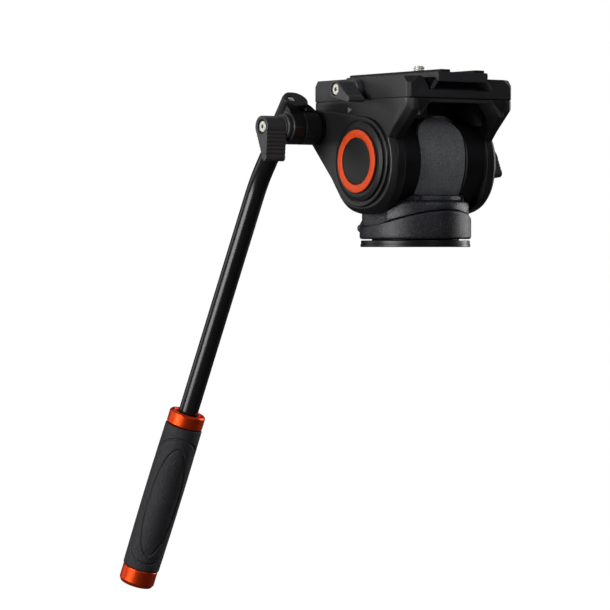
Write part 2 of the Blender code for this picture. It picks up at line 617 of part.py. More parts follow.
wing_knob("clamp_knob", (CLAMP_KNOB_Y, CLAMP_KNOB_Z), -36.0, -40.6, -51.2, 4.9, 1.7, (-11.6, -5.6), 6.0,
          BLACK_PLASTIC, clamp_knob_axis)
knob_screw("clamp_knob_screw", (CLAMP_KNOB_Y, CLAMP_KNOB_Z), -25.0, -51.2, 3.0, -1, clamp_knob_axis, shank=2.3)
wing_knob("tilt_lock_knob", (0, TILT_Z), 39.4, 40.8, 51.2, 8.8, 2.2, (-9.8, -5.6), 7.0, BLACK_PLASTIC,
          tilt_lock_axis)
cut(bpy.data.objects["tilt_lock_knob"], rod(3.9, 36, 48.4, "X", (0, 0, TILT_Z), segs=16))
piece("tilt_lock_cap", rod(3.5, 49.2, 50.8, "X", (0, 0, TILT_Z), segs=12, edge=0.3), BRIGHT, tilt_lock_axis)

# Quick-release plate.
plate_base = [(-20.4, 84.5), (20.4, 84.5), (20.4, 85.2), (17.6, 89.6), (-17.6, 89.6), (-20.4, 85.2)]
plate = piece("quick_release_plate",
              prism([(-PLATE_X, PLATE_Z0), (PLATE_X, PLATE_Z0), (PLATE_X, PLATE_Z1 - 0.6), (PLATE_X - 0.6, PLATE_Z1),
                     (-PLATE_X + 0.6, PLATE_Z1), (-PLATE_X, PLATE_Z1 - 0.6)], "Y", PLATE_Y0, PLATE_Y1),
              BLACK_CAST, plate_slide)
join(plate, prism([(-20.4, 84.5), (20.4, 84.5), (20.4, 85.2), (17.7, 88.9), (16.5, 89.5), (-16.5, 89.5), (-17.7, 88.9),
                   (-20.4, 85.2)], "Y", -41.9, 38.0))
# In front the dovetail is hollow: only its two rails reach forward.
cut(plate, prism([(-18.9, 84.0), (18.9, 84.0), (18.9, 84.9), (15.7, 88.7), (-15.7, 88.7), (-18.9, 84.9)], "Y", -42.0, -33.0))
cut(plate, prism(rounded(-8.0, 8.0, -24.0, 22.0, 2.5), "Z", 80, 89.4))
cut(plate, prism(rounded(-3.5, 3.5, -18.0, 16.0, 3.4), "Z", 85, 99))
for name, x0, x1 in (("rubber_strip_right", -14.9, -8.2), ("rubber_strip_left", 8.2, 14.9)):
    piece(name, prism(rounded(x0, x1, PLATE_Y0 + 0.9, PLATE_Y1 - 0.9, 0.8, 2), "Z", PLATE_Z1 + 0.3, STRIP_Z),
          RUBBER, plate_slide)
piece("screw_retainer", ring(3.45, 5.6, PLATE_Z1 + 0.3, PLATE_Z1 + 0.9, centre=(0, SCREW_Y, 0), segs=16),
      STEEL, screw_slide)
piece("camera_screw",
      lathe([(0, 86.6), (1.6, 86.6), (1.6, 85.4), (6.4, 85.4), (6.8, 85.8), (6.8, 89.1), (3.1, 89.1), (3.1, 98.2),
             (2.6, 98.7), (0, 98.7)], centre=(0, SCREW_Y, 0), segs=16), BRIGHT, screw_axis)

# ------------------------------------------------------------------- pan bar
hub_bm = toothed_disc(-39.8, -50.1, 12, 0.8, 6.0, ROSETTE_R, 1, 3.3)
rosette_hub = piece("handle_rosette_hub", hub_bm, BLACK_CAST, handle_axis)

upper_dir = Vector(UPPER_DIR).normalized()
lobe_end = Vector((TUBE_X, 40.46, 81.25))
# The tube lies in a groove across the hub's outer end.
cut(rosette_hub, rod(TUBE_R + 0.4, -5, 61, tuple(upper_dir), tuple(lobe_end), segs=16))
across = Vector((0, upper_dir.z, -upper_dir.y))   # perpendicular to the tube in the YZ plane


def yz(p):
    return (p.y, p.z)


lobe_start = lobe_end + upper_dir * 25.2
clamp_handle = piece("handle_clamp",
                     rod(ROSETTE_R, -58.3, -50.5, "X", (0, ROSETTE_Y, ROSETTE_Z), segs=20), BLACK_CAST, handle_axis)
web = hull(shifted(circle(9.1, 12), ROSETTE_Y, ROSETTE_Z)
           + [yz(lobe_end + upper_dir * 2.4 + across * k) for k in (-3.2, 5.9)]
           + [yz(lobe_start + across * k) for k in (-3.2, 4.5)])
join(clamp_handle, prism(web, "X", -58.1, -50.8))
# The lobe round the tube's end: it has a boss for the tube screw on its outer side, and a sloped foot on its inner side.
lobe = hull(circle(6.4, 16) + shifted(circle(6.3, 16), 1.7, 0) + shifted(circle(4.0, 12), -3.6, 0))
small_lobe = inset(lobe, 0.7)
join(clamp_handle, loft([[lobe_end + Vector((1, 0, 0)) * x + across * y + upper_dir * h for x, y in outline]
                         for outline, h in ((small_lobe, 0), (lobe, 0.7), (lobe, 24.5), (small_lobe, 25.2))]))
join(clamp_handle, prism([(-47.0, 74.0), (-40.5, 74.0), (-40.5, 74.9), (-43.7, 77.3), (-47.0, 78.9)], "Y", 36.8, 45.2))
cut(clamp_handle, rod(ROSETTE_R + 0.5, -50.4, -38, "X", (0, ROSETTE_Y, ROSETTE_Z), segs=24))
# Spot face for the knob's collar.
cut(clamp_handle, rod(7.9, -66, -58.45, "X", (0, ROSETTE_Y, ROSETTE_Z), segs=20))
cut(clamp_handle, rod(TUBE_R + 0.25, 6.2, 41.2, tuple(upper_dir), tuple(lobe_end), segs=16))
cut(clamp_handle, rod(2.8, -62, -48, "X", (0, ROSETTE_Y, ROSETTE_Z), segs=10))
cut(clamp_handle, rod(2.3, -2, 2.0, tuple(upper_dir), tuple(lobe_end + Vector((-2.2, 0, 0))), segs=8))
cut(clamp_handle, rod(1.3, 1, 6, tuple(upper_dir), tuple(lobe_end + Vector((-2.2, 0, 0))), segs=8))
piece("tube_screw",
      lathe([(0, 1.4), (0.8, 1.4), (0.8, 0.5), (1.9, 0.5), (1.9, 1.7), (1.0, 1.7), (1.0, 4.8), (0, 4.8)],
            tuple(upper_dir), tuple(lobe_end + Vector((-2.2, 0, 0))), 8), BRIGHT, handle_axis)

# The bar: straight, a short bend, then straight to inside the grip.
bend = Vector(TUBE_BEND)
lower_dir = Vector(LOWER_DIR).normalized()
BEND_RUN = 9.0
route = [lobe_end + upper_dir * 6.6]
start, stop = bend - upper_dir * BEND_RUN, bend + lower_dir * BEND_RUN
for i in range(7):
    t = i / 6
    route.append(start * (1 - t) ** 2 + bend * 2 * t * (1 - t) + stop * t * t)
route.append(bend + lower_dir * (CAP_AT - 1.0))


def sweep(path, radius, segs):
    rings = []
    u = Vector((1, 0, 0))
    for i, p in enumerate(path):
        a = path[max(0, i - 1)]
        b = path[min(len(path) - 1, i + 1)]
        w = (b - a).normalized()
        u = (u - w * u.dot(w)).normalized()
        v = w.cross(u)
        rings.append([p + u * x + v * y for x, y in circle(radius, segs)])
    return loft(rings)


piece("pan_bar_tube", sweep(route, TUBE_R, 16), BLACK_CAST, handle_axis)
lower_axis = tuple(lower_dir)
foot = tuple(bend)
piece("grip_collar",
      lathe([(TUBE_R + 0.3, COLLAR_AT), (9.6, COLLAR_AT), (10.3, COLLAR_AT + 0.7), (10.3, GRIP_AT - 0.9),
             (9.9, GRIP_AT - 0.3), (TUBE_R + 0.3, GRIP_AT - 0.3)], lower_axis, foot, 20), ORANGE, handle_axis)
piece("grip_sleeve",
      lathe([(TUBE_R + 0.3, GRIP_AT), (10.0, GRIP_AT), (GRIP_R, GRIP_AT + 0.6), (10.7, GRIP_AT + 30), (10.9, GRIP_AT + 55),
             (GRIP_R, CAP_AT - 0.9), (10.0, CAP_AT - 0.3), (TUBE_R + 0.3, CAP_AT - 0.3)], lower_axis, foot, 20),
      RUBBER, handle_axis)
cap = piece("grip_end_cap",
            lathe([(0, CAP_AT), (9.8, CAP_AT), (10.1, CAP_AT + 0.4), (10.1, HANDLE_END - 2.2), (9.4, HANDLE_END - 0.6),
                   (8.2, HANDLE_END), (0, HANDLE_END)], lower_axis, foot, 24), ORANGE, handle_axis)
wing_knob("handle_knob", (ROSETTE_Y, ROSETTE_Z), -58.7, -61.0, -74.0, 6.0, 1.9, (-2.6, -16.9), 7.4, BLACK_PLASTIC,
          handle_knob_axis)
knob_screw("handle_bolt", (ROSETTE_Y, ROSETTE_Z), -41.5, -74.0, 3.1, -1, handle_knob_axis, shank=2.4)

# Corners that the cuts leave within two microns of each other become one.
for made in bpy.data.objects:
    if made.modifiers and not made.hide_render:
        weld = made.modifiers.new("weld", "WELD")
        weld.merge_threshold = 0.000002
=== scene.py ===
"""Looks of the fluid video head: the finished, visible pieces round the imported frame.

Lengths in the shape functions are millimetres in the frame of the part: +Z up, -Y is the
lens side, +X is the operator's left, and the origin is the centre of the base's underside."""

import math

import bmesh
import bpy
from mathutils import Matrix, Vector


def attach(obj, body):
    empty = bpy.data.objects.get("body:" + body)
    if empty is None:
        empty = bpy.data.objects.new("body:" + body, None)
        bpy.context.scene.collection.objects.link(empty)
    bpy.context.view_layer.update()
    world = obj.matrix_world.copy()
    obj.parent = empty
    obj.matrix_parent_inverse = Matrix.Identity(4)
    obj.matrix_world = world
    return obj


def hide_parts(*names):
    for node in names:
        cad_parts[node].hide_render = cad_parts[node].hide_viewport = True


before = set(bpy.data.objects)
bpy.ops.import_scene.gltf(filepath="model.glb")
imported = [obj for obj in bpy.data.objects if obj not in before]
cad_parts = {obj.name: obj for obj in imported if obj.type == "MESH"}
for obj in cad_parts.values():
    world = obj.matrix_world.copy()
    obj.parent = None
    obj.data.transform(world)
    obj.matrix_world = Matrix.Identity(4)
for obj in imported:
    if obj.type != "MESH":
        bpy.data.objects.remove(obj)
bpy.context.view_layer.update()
MM = 0.001

# ---------------------------------------------------------------- dimensions
BASE_R, BASE_T, NECK_R = 30.0, 3.65, 23.8
SHELL_R, CAST_R, CAVITY_R = 30.5, 29.2, 23.5
SHELL_Z0, FLOOR_Z, CAVITY_Z = 4.3, 7.5, 17.0
DECK_Z, NECK_TOP_Z = 25.2, 28.0
SEAM_MID, SEAM_AMP, SEAM_LOW = 15.6, 4.3, 108.0
TILT_Z = 46.3
TOWER_X, TOWER_BORE = 15.2, 13.0
DISC_R, DISC_X0, DISC_X1 = 26.2, 15.5, 27.6
FLAT_X = 27.2
CHEEK_R, CHEEK_X1, CHAMFER = 28.3, 35.6, 3.0
ROSETTE_Y, ROSETTE_Z, ROSETTE_R = 41.0, 65.5, 9.4
SEAM_Z, CLAMP_TOP, CLAMP_TOP_LEFT = 79.5, 91.2, 90.4
CLAMP_Y0, CLAMP_Y1, CHANNEL_Z = -41.0, 46.4, 84.0
PLATE_X, PLATE_Y0, PLATE_Y1 = 16.8, -42.6, 41.5
PLATE_Z0, PLATE_Z1, STRIP_Z = 88.4, 93.6, 95.0
SCREW_Y = -3.3
CLAMP_KNOB_Y, CLAMP_KNOB_Z = 4.5, 85.0
PAN_KNOB_Z = 10.4
TUBE_R, TUBE_X = 5.5, -52.0
TUBE_BEND = (TUBE_X, 75.4, 36.7)
LOWER_DIR = Vector((-0.160, 0.282, -0.946)).normalized()
UPPER_DIR = Vector((0.0, 0.613, -0.790)).normalized()
COLLAR_AT, GRIP_AT, CAP_AT, HANDLE_END = 137.0, 145.2, 230.3, 240.6
GRIP_R = 10.5


# ------------------------------------------------------------------ outlines
def circle(radius, segs, turn=0.0):
    return [(radius * math.cos(turn + 2 * math.pi * i / segs), radius * math.sin(turn + 2 * math.pi * i / segs))
            for i in range(segs)]


def arc(cx, cy, radius, a0, a1, steps):
    return [(cx + radius * math.cos(math.radians(a0 + (a1 - a0) * i / steps)),
             cy + radius * math.sin(math.radians(a0 + (a1 - a0) * i / steps))) for i in range(steps + 1)]


def shifted(outline, dx, dy):
    return [(x + dx, y + dy) for x, y in outline]


def hull(points):
    points = sorted(set((round(x, 6), round(y, 6)) for x, y in points))

    def chain(run):
        out = []
        for p in run:
            while len(out) > 1 and (out[-1][0] - out[-2][0]) * (p[1] - out[-2][1]) - (
                out[-1][1] - out[-2][1]
            ) * (p[0] - out[-2][0]) <= 1e-9:
                out.pop()
            out.append(p)
        return out[:-1]

    return chain(points) + chain(points[::-1])


def shape_inset(shape):
    return lambda outline, distance: shape(distance)


def side_inset(outline, distance):
    """Moves each side of a counter-clockwise outline inwards."""
    n = len(outline)
    result = []
    for i in range(n):
        p0, p1, p2 = outline[i - 1], outline[i], outline[(i + 1) % n]
        d1 = Vector((p1[0] - p0[0], p1[1] - p0[1])).normalized()
        d2 = Vector((p2[0] - p1[0], p2[1] - p1[1])).normalized()
        n1, n2 = Vector((-d1.y, d1.x)), Vector((-d2.y, d2.x))
        mid = (n1 + n2).normalized()
        scale = distance / max(0.35, mid.dot(n1))
        result.append((p1[0] + mid.x * scale, p1[1] + mid.y * scale))
    return result


def fillet(outline, radius, steps=5):
    """Rounds the corners of an outline. radius is one number, or one for each corner."""
    n = len(outline)
    out = []
    for i in range(n):
        r = radius[i] if isinstance(radius, (list, tuple)) else radius
        p0, p1, p2 = Vector(outline[i - 1]), Vector(outline[i]), Vector(outline[(i + 1) % n])
        a, b = (p0 - p1), (p2 - p1)
        la, lb = a.length, b.length
        a.normalize()
        b.normalize()
        angle = math.acos(max(-1.0, min(1.0, a.dot(b))))
        if r <= 0 or angle > math.radians(176):
            out.append(tuple(p1))
            continue
        reach = min(r / math.tan(angle / 2), 0.48 * la, 0.48 * lb)
        r = reach * math.tan(angle / 2)
        centre = p1 + (a + b).normalized() * (r / math.sin(angle / 2))
        start, stop = p1 + a * reach - centre, p1 + b * reach - centre
        sweep_angle = math.pi - angle
        sign = 1 if start.x * stop.y - start.y * stop.x > 0 else -1
        for k in range(steps + 1):
            t = sign * sweep_angle * k / steps
            out.append((centre.x + start.x * math.cos(t) - start.y * math.sin(t),
                        centre.y + start.x * math.sin(t) + start.y * math.cos(t)))
    return out


def ccw(outline):
    area = sum(a[0] * b[1] - b[0] * a[1] for a, b in zip(outline, outline[1:] + outline[:1]))
    return outline if area > 0 else outline[::-1]


def rounded(x0, x1, y0, y1, r, steps=6):
    return fillet([(x0, y0), (x1, y0), (x1, y1), (x0, y1)], r, steps)


# -------------------------------------------------------------------- solids
def axis_frame(axis):
    if axis == "Z":
        return Vector((1, 0, 0)), Vector((0, 1, 0)), Vector((0, 0, 1))
    if axis == "X":
        return Vector((0, 1, 0)), Vector((0, 0, 1)), Vector((1, 0, 0))
    if axis == "Y":
        return Vector((1, 0, 0)), Vector((0, 0, 1)), Vector((0, 1, 0))
    w = Vector(axis).normalized()
    u = Vector((1, 0, 0)) - w * w.x
    u.normalize()
    return u, w.cross(u), w


def settle(bm):
    bmesh.ops.recalc_face_normals(bm, faces=bm.faces[:])
    if bm.calc_volume(signed=True) < 0:
        bmesh.ops.reverse_faces(bm, faces=bm.faces[:])
    return bm


def loft(rings, closed=False, caps=True):
    bm = bmesh.new()
    made = [[bm.verts.new(Vector(p) * MM) for p in ring] for ring in rings]
    pairs = list(zip(made, made[1:]))
    if closed:
        pairs.append((made[-1], made[0]))
    for a, b in pairs:
        n = max(len(a), len(b))
        for i in range(n):
            j = (i + 1) % n
            if len(a) == 1:
                bm.faces.new((a[0], b[i], b[j]))
            elif len(b) == 1:
                bm.faces.new((a[i], a[j], b[0]))
            else:
                bm.faces.new((a[i], a[j], b[j], b[i]))
    if caps and not closed:
        for ring in (made[0], made[-1]):
            if len(ring) > 2:
                bm.faces.new(ring)
    return settle(bm)


def lathe(profile, axis="Z", centre=(0, 0, 0), segs=96):
    """Turns (radius, height) points about an axis, with a ring of points for each."""
    u, v, w = axis_frame(axis)
    c = Vector(centre)
    rings = []
    for radius, height in profile:
        if radius == 0:
            rings.append([c + w * height])
        else:
            rings.append([c + u * x + v * y + w * height for x, y in circle(radius, segs)])
    solid = profile[0][0] == 0 or profile[-1][0] == 0
    return loft(rings, closed=not solid)


def soft(profile, radius=0.4, steps=3):
    """Rounds the corners of a turned profile that starts and ends on the axis, or of a closed one."""
    if profile[0][0] == 0:
        inner = fillet(profile, [0] + [radius] * (len(profile) - 2) + [0], steps)
        return [(0.0, profile[0][1])] + inner[1:-1] + [(0.0, profile[-1][1])]
    return fillet(profile, radius, steps)


def turned(profile, axis="Z", centre=(0, 0, 0), segs=96, radius=0.4, steps=3):
    return lathe(soft(profile, radius, steps), axis, centre, segs)


def rod(radius, lo, hi, axis="Z", centre=(0, 0, 0), segs=64, edge=0.0):
    profile = [(0, lo), (radius, lo), (radius, hi), (0, hi)]
    if edge:
        return turned(profile, axis, centre, segs, edge)
    return lathe(profile, axis, centre, segs)


def ring(inner, outer, lo, hi, axis="Z", centre=(0, 0, 0), segs=96, edge=0.0):
    profile = [(inner, lo), (outer, lo), (outer, hi), (inner, hi)]
    return turned(profile, axis, centre, segs, edge) if edge else lathe(profile, axis, centre, segs)


def sections(stack, axis, centre=(0, 0, 0)):
    u, v, w = axis_frame(axis)
    c = Vector(centre)
    return loft([[c + u * x + v * y + w * h for x, y in outline] for outline, h in stack])


def prism(outline, axis, lo, hi, centre=(0, 0, 0)):
    return sections([(outline, lo), (outline, hi)], axis, centre)


def rprism(outline, axis, lo, hi, r_lo=0.4, r_hi=0.4, steps=3, centre=(0, 0, 0), shape=None):
    """Extrusion with rounded end edges. The outline is counter-clockwise. shape gives the outline drawn in
    by a distance, where moving its sides inwards would cross them."""
    stack = []
    inset = shape_inset(shape) if shape else side_inset
    for k in range(steps + 1):
        a = math.pi / 2 * k / steps
        if r_lo:
            stack.append((inset(outline, r_lo * (1 - math.sin(a))) if k < steps else outline,
                          lo + r_lo * (1 - math.cos(a))))
    if not r_lo:
        stack.append((outline, lo))
    if r_hi:
        for k in range(steps + 1):
            a = math.pi / 2 * k / steps
            stack.append((inset(outline, r_hi * (1 - math.cos(a))) if k else outline, hi - r_hi * (1 - math.sin(a))))
    else:
        stack.append((outline, hi))
    return sections(stack, axis, centre)


def box(x0, x1, y0, y1, z0, z1):
    return prism([(x0, y0), (x1, y0), (x1, y1), (x0, y1)], "Z", z0, z1)


def trim(bm, point, normal):
    cut = bmesh.ops.bisect_plane(
        bm, geom=bm.verts[:] + bm.edges[:] + bm.faces[:], dist=1e-7,
        plane_co=Vector(point) * MM, plane_no=Vector(normal), clear_outer=True)
    edges = [g for g in cut["geom_cut"] if isinstance(g, bmesh.types.BMEdge)]
    bmesh.ops.edgeloop_fill(bm, edges=edges)
    return settle(bm)


def sweep(path, radius, segs, ends=0.0):
    rings = []
    u = Vector((1, 0, 0))
    for i, p in enumerate(path):
        a, b = path[max(0, i - 1)], path[min(len(path) - 1, i + 1)]
        w = (b - a).normalized()
        u = (u - w * u.dot(w)).normalized()
        v = w.cross(u)
        rings.append([p + u * x + v * y for x, y in circle(radius, segs)])
    return loft(rings)


def side_x(outline, s):
    """An (X, Z) or (X, Y) outline on the +X side, mirrored to the -X side for s = -1."""
    return ccw([(s * x, y) for x, y in outline])


# ----------------------------------------------------------- making the pieces
def link(name, mesh):
    obj = bpy.data.objects.new(name, mesh)
    bpy.context.scene.collection.objects.link(obj)
    return obj


def to_mesh(bm, name):
    mesh = bpy.data.meshes.new(name)
    bm.to_mesh(mesh)
    bm.free()
    return mesh


def bake(obj):
    """Turns an object's modifiers into its mesh."""
    dg = bpy.context.evaluated_depsgraph_get()
    dg.update()
    mesh = bpy.data.meshes.new_from_object(obj.evaluated_get(dg))
    old = obj.data
    obj.modifiers.clear()
    obj.data = mesh
    bpy.data.meshes.remove(old)


def solid(name, bm, *steps, bevel=0.0, bevel_steps=2, bevel_angle=35):
    """Makes an object from a solid and a list of ("+" | "-" | "&", solid) steps."""
    obj = link(name, to_mesh(bm, name))
    helpers = []
    for sign, other in steps:
        helper = link(name + "_helper", to_mesh(other, name + "_helper"))
        helpers.append(helper)
        modifier = obj.modifiers.new("step", "BOOLEAN")
        modifier.operation = {"+": "UNION", "-": "DIFFERENCE", "&": "INTERSECT"}[sign]
        modifier.solver = "EXACT"
        modifier.object = helper
    if steps:
        weld = obj.modifiers.new("weld", "WELD")
        weld.merge_threshold = 0.000003
        bake(obj)
    for helper in helpers:
        mesh = helper.data
        bpy.data.objects.remove(helper, do_unlink=True)
        bpy.data.meshes.remove(mesh)
    if bevel:
        modifier = obj.modifiers.new("bevel", "BEVEL")
        modifier.width = bevel * MM
        modifier.segments = bevel_steps
        modifier.limit_method = "ANGLE"
        modifier.angle_limit = math.radians(bevel_angle)
        modifier.use_clamp_overlap = True
        modifier.miter_outer = "MITER_ARC"
        bake(obj)
    return obj


def finish_piece(obj, look, body, replaced=(), sharp=32):
    obj.data.materials.clear()
    obj.data.materials.append(look)
    for polygon in obj.data.polygons:
        polygon.material_index = 0
    obj.data.shade_smooth()
    obj.data.set_sharp_from_angle(angle=math.radians(sharp))
    weighted = obj.modifiers.new("weighted", "WEIGHTED_NORMAL")
    weighted.keep_sharp = True
    weighted.weight = 60
    bake(obj)
    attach(obj, body)
    if replaced:
        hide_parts(*replaced)
    return obj


def merged(name, parts):
    """One object from several."""
    bm = bmesh.new()
    for part in parts:
        bm.from_mesh(part.data)
        mesh = part.data
        bpy.data.objects.remove(part, do_unlink=True)
        bpy.data.meshes.remove(mesh)
    return link(name, to_mesh(bm, name))


# ------------------------------------------------------------------ materials
class Tree:
    """Short names for building a material's nodes."""

    def __init__(self, name):
        self.mat = bpy.data.materials.new(name)
        self.mat.use_nodes = True
        self.nodes = self.mat.node_tree.nodes
        self.links = self.mat.node_tree.links
        self.shader = self.nodes["Principled BSDF"]
        coordinates = self.nodes.new("ShaderNodeTexCoord")
        scale = self.nodes.new("ShaderNodeMapping")
        scale.inputs["Scale"].default_value = (1000, 1000, 1000)
        self.links.new(coordinates.outputs["Object"], scale.inputs["Vector"])
        self.mm = scale.outputs["Vector"]   # object coordinates in millimetres

    def set(self, **values):
        for key, value in values.items():
            socket = self.shader.inputs[key.replace("_", " ")]
            socket.default_value = value

    def node(self, kind, **inputs):
        made = self.nodes.new(kind)
        for key, value in inputs.items():
            socket = made.inputs[key.replace("_", " ")]
            if isinstance(value, bpy.types.NodeSocket):
                self.links.new(value, socket)
            else:
                socket.default_value = value
        return made

    def noise(self, scale, detail=2.0, rough=0.5, vector=None, distort=0.0):
        made = self.node("ShaderNodeTexNoise", Scale=scale, Detail=detail, Roughness=rough, Distortion=distort)
        self.links.new(vector or self.mm, made.inputs["Vector"])
        return made.outputs["Fac"]

    def cells(self, scale, feature="F1", output="Distance", vector=None, random=1.0):
        made = self.nodes.new("ShaderNodeTexVoronoi")
        made.feature = feature
        made.inputs["Scale"].default_value = scale
        made.inputs["Randomness"].default_value = random
        self.links.new(vector or self.mm, made.inputs["Vector"])
        return made.outputs[output]

    def stretch(self, factors, turn=(0, 0, 0)):
        made = self.nodes.new("ShaderNodeMapping")
        made.inputs["Scale"].default_value = factors
        made.inputs["Rotation"].default_value = turn
        self.links.new(self.mm, made.inputs["Vector"])
        return made.outputs["Vector"]

    def remap(self, value, a, b, c, d):
        made = self.node("ShaderNodeMapRange", Value=value)
        for key, number in (("From Min", a), ("From Max", b), ("To Min", c), ("To Max", d)):
            made.inputs[key].default_value = number
        return made.outputs["Result"]

    def maths(self, operation, a, b):
        made = self.nodes.new("ShaderNodeMath")
        made.operation = operation
        for socket, value in zip(made.inputs, (a, b)):
            if isinstance(value, bpy.types.NodeSocket):
                self.links.new(value, socket)
            else:
                socket.default_value = value
        return made.outputs[0]

    def mix(self, factor, a, b):
        made = self.nodes.new("ShaderNodeMix")
        made.data_type = "RGBA"
        for socket, value in ((made.inputs[0], factor), (made.inputs[6], a), (made.inputs[7], b)):
            if isinstance(value, bpy.types.NodeSocket):
                self.links.new(value, socket)
            else:
                socket.default_value = (*value, 1.0) if isinstance(value, tuple) else value
        return made.outputs[2]

    def soften(self, radius):
        """Rounds the shading of creases that the mesh leaves sharp."""
        made = self.nodes.new("ShaderNodeBevel")
        made.samples = 4
        made.inputs["Radius"].default_value = radius * MM
        return made.outputs["Normal"]

    def bump(self, height, depth, strength=1.0, under=None):
        """depth is in millimetres."""
        made = self.node("ShaderNodeBump", Height=height)
        made.inputs["Strength"].default_value = strength
        made.inputs["Distance"].default_value = depth * MM
        if under is not None:
            self.links.new(under, made.inputs["Normal"])
        return made.outputs["Normal"]

    def feed(self, socket, value):
        self.links.new(value, self.shader.inputs[socket])


def edge_mask(tree, low, high):
    """1 on outer edges, from the mesh's own curvature."""
    geometry = tree.nodes.new("ShaderNodeNewGeometry")
    return tree.remap(geometry.outputs["Pointiness"], low, high, 0.0, 1.0)


def powder_coat(name, dark, light, rough=(0.36, 0.5), grain=3.2, depth=0.02, soften=0.25, edge=0.25, specular=0.5,
                edge_highlight_lift=0.0):
    t = Tree(name)
    cloud = t.noise(0.06, 3)
    fine = t.noise(grain, 3, 0.6)
    tone = t.mix(t.remap(cloud, 0.35, 0.65, 0, 1), dark, light)
    # Outer edges, found from the mesh's curvature, are painted lighter by the edge setting plus the lift added to the
    # edge colour: a painted edge highlight.
    rim = t.maths("MULTIPLY", edge_mask(t, 0.52, 0.62), edge)
    tone = t.mix(rim, tone, tuple(min(1.0, c * 3 + 0.01 + edge_highlight_lift) for c in light))
    t.feed("Base Color", tone)
    smear = t.noise(0.35, 4, 0.65)
    t.feed("Roughness", t.remap(t.maths("ADD", smear, t.maths("MULTIPLY", fine, 0.5)), 0.45, 1.05, *rough))
    t.set(Specular_IOR_Level=specular)
    t.feed("Normal", t.bump(fine, depth, 1.0, t.soften(soften) if soften else None))
    return t.mat


def wrinkle_coat(name, dark, light, rough=(0.34, 0.55), scale=1.7, depth=0.07, sparkle=0.35, soften=0.3):
    """Coarse textured coat with small bright flecks. The flecks are partly metallic, and their lighter colour is a
    painted glint.
    """
    t = Tree(name)
    lumps = t.noise(scale, 4, 0.65)
    grit = t.cells(scale * 1.6)
    height = t.maths("ADD", lumps, t.maths("MULTIPLY", grit, 0.45))
    fleck = t.cells(scale * 1.8, output="Color")
    split = t.nodes.new("ShaderNodeSeparateColor")
    t.links.new(fleck, split.inputs[0])
    glint = t.remap(split.outputs[0], 0.72, 0.95, 0.0, sparkle)
    # The colour follows the bump's lumps, darker where they are low and lighter where they are high: painted shade in
    # the hollows.
    tone = t.mix(t.remap(lumps, 0.35, 0.7, 0, 1), dark, light)
    # Flecks get a lighter colour (a painted glint) as well as some metalness.
    tone = t.mix(glint, tone, (0.13, 0.13, 0.145))
    t.feed("Base Color", tone)
    t.feed("Metallic", t.maths("MULTIPLY", glint, 0.8))
    t.feed("Roughness", t.remap(t.noise(scale * 2.3, 3, 0.7), 0.3, 0.7, *rough))
    t.feed("Normal", t.bump(height, depth, 1.0, t.soften(soften)))
    return t.mat


def moulded(name, dark, light, rough=(0.42, 0.58), scale=2.6, depth=0.025, soften=0.2, specular=0.5, speckle=0.0):
    """Injection-moulded plastic with a spark-eroded texture. speckle lightens the texture's fine tips."""
    t = Tree(name)
    pits = t.cells(scale, "SMOOTH_F1")
    fine = t.noise(scale * 2.2, 3, 0.6)
    height = t.maths("ADD", t.maths("MULTIPLY", pits, 0.7), t.maths("MULTIPLY", fine, 0.6))
    tone = t.mix(t.remap(t.noise(0.12, 3), 0.35, 0.65, 0, 1), dark, light)
    if speckle:
        tone = t.mix(t.remap(t.noise(scale * 1.5, 3, 0.75), 0.42, 0.68, 0, speckle), tone, tuple(c * 2.4 for c in light))
    t.feed("Base Color", tone)
    t.feed("Roughness", t.remap(fine, 0.3, 0.7, *rough))
    t.set(Specular_IOR_Level=specular)
    t.feed("Normal", t.bump(height, depth, 1.0, t.soften(soften) if soften else None))
    return t.mat


def anodised(name, dark, light, rough=(0.24, 0.36), metallic=0.75, axis=(0, 0, 1), lines=6.0, depth=0.006):
    """Coloured anodised aluminium, turned: fine lines run round the axis."""
    t = Tree(name)
    direction = Vector(axis).normalized()
    dot = t.nodes.new("ShaderNodeVectorMath")
    dot.operation = "DOT_PRODUCT"
    t.links.new(t.mm, dot.inputs[0])
    dot.inputs[1].default_value = direction
    wave = t.nodes.new("ShaderNodeTexNoise")
    wave.noise_dimensions = "1D"
    wave.inputs["Scale"].default_value = lines
    wave.inputs["Detail"].default_value = 3
    t.links.new(dot.outputs["Value"], wave.inputs["W"])
    cloud = t.noise(0.25, 3)
    t.feed("Base Color", t.mix(t.remap(cloud, 0.3, 0.7, 0, 1), dark, light))
    t.set(Metallic=metallic)
    t.feed("Roughness", t.remap(t.noise(1.4, 3), 0.3, 0.7, *rough))
    t.feed("Normal", t.bump(wave.outputs["Fac"], depth, 1.0, t.soften(0.15)))
    return t.mat


def metal(name, colour, rough=(0.18, 0.34), scale=2.0, depth=0.006, metallic=1.0):
    t = Tree(name)
    darker = tuple(c * 0.78 for c in colour)
    t.feed("Base Color", t.mix(t.remap(t.noise(0.5, 3), 0.35, 0.65, 0, 1), darker, colour))
    t.set(Metallic=metallic)
    t.feed("Roughness", t.remap(t.noise(scale, 4, 0.6), 0.3, 0.7, *rough))
    t.feed("Normal", t.bump(t.noise(scale * 4, 2), depth, 1.0, t.soften(0.1)))
    return t.mat


def leathered_rubber(name, dark, light):
    """Rubber with a fine leather-like grain: rounded cells between creases."""
    t = Tree(name)
    creases = t.cells(0.95, "DISTANCE_TO_EDGE")
    rounded_cells = t.remap(creases, 0.0, 0.22, 0.0, 1.0)
    fine = t.noise(5.0, 2, 0.6)
    height = t.maths("ADD", rounded_cells, t.maths("MULTIPLY", fine, 0.35))
    # The creases are painted darker than the cells between them: painted shade in the grain.
    tone = t.mix(t.remap(creases, 0.0, 0.16, 0, 1), tuple(c * 0.6 for c in dark), light)
    tone = t.mix(t.remap(t.noise(0.08, 3), 0.35, 0.65, 0.0, 0.6), tone, dark)
    t.feed("Base Color", tone)
    t.feed("Roughness", t.remap(fine, 0.3, 0.7, 0.52, 0.68))
    t.set(Specular_IOR_Level=0.4)
    t.feed("Normal", t.bump(height, 0.11, 1.0))
    return t.mat


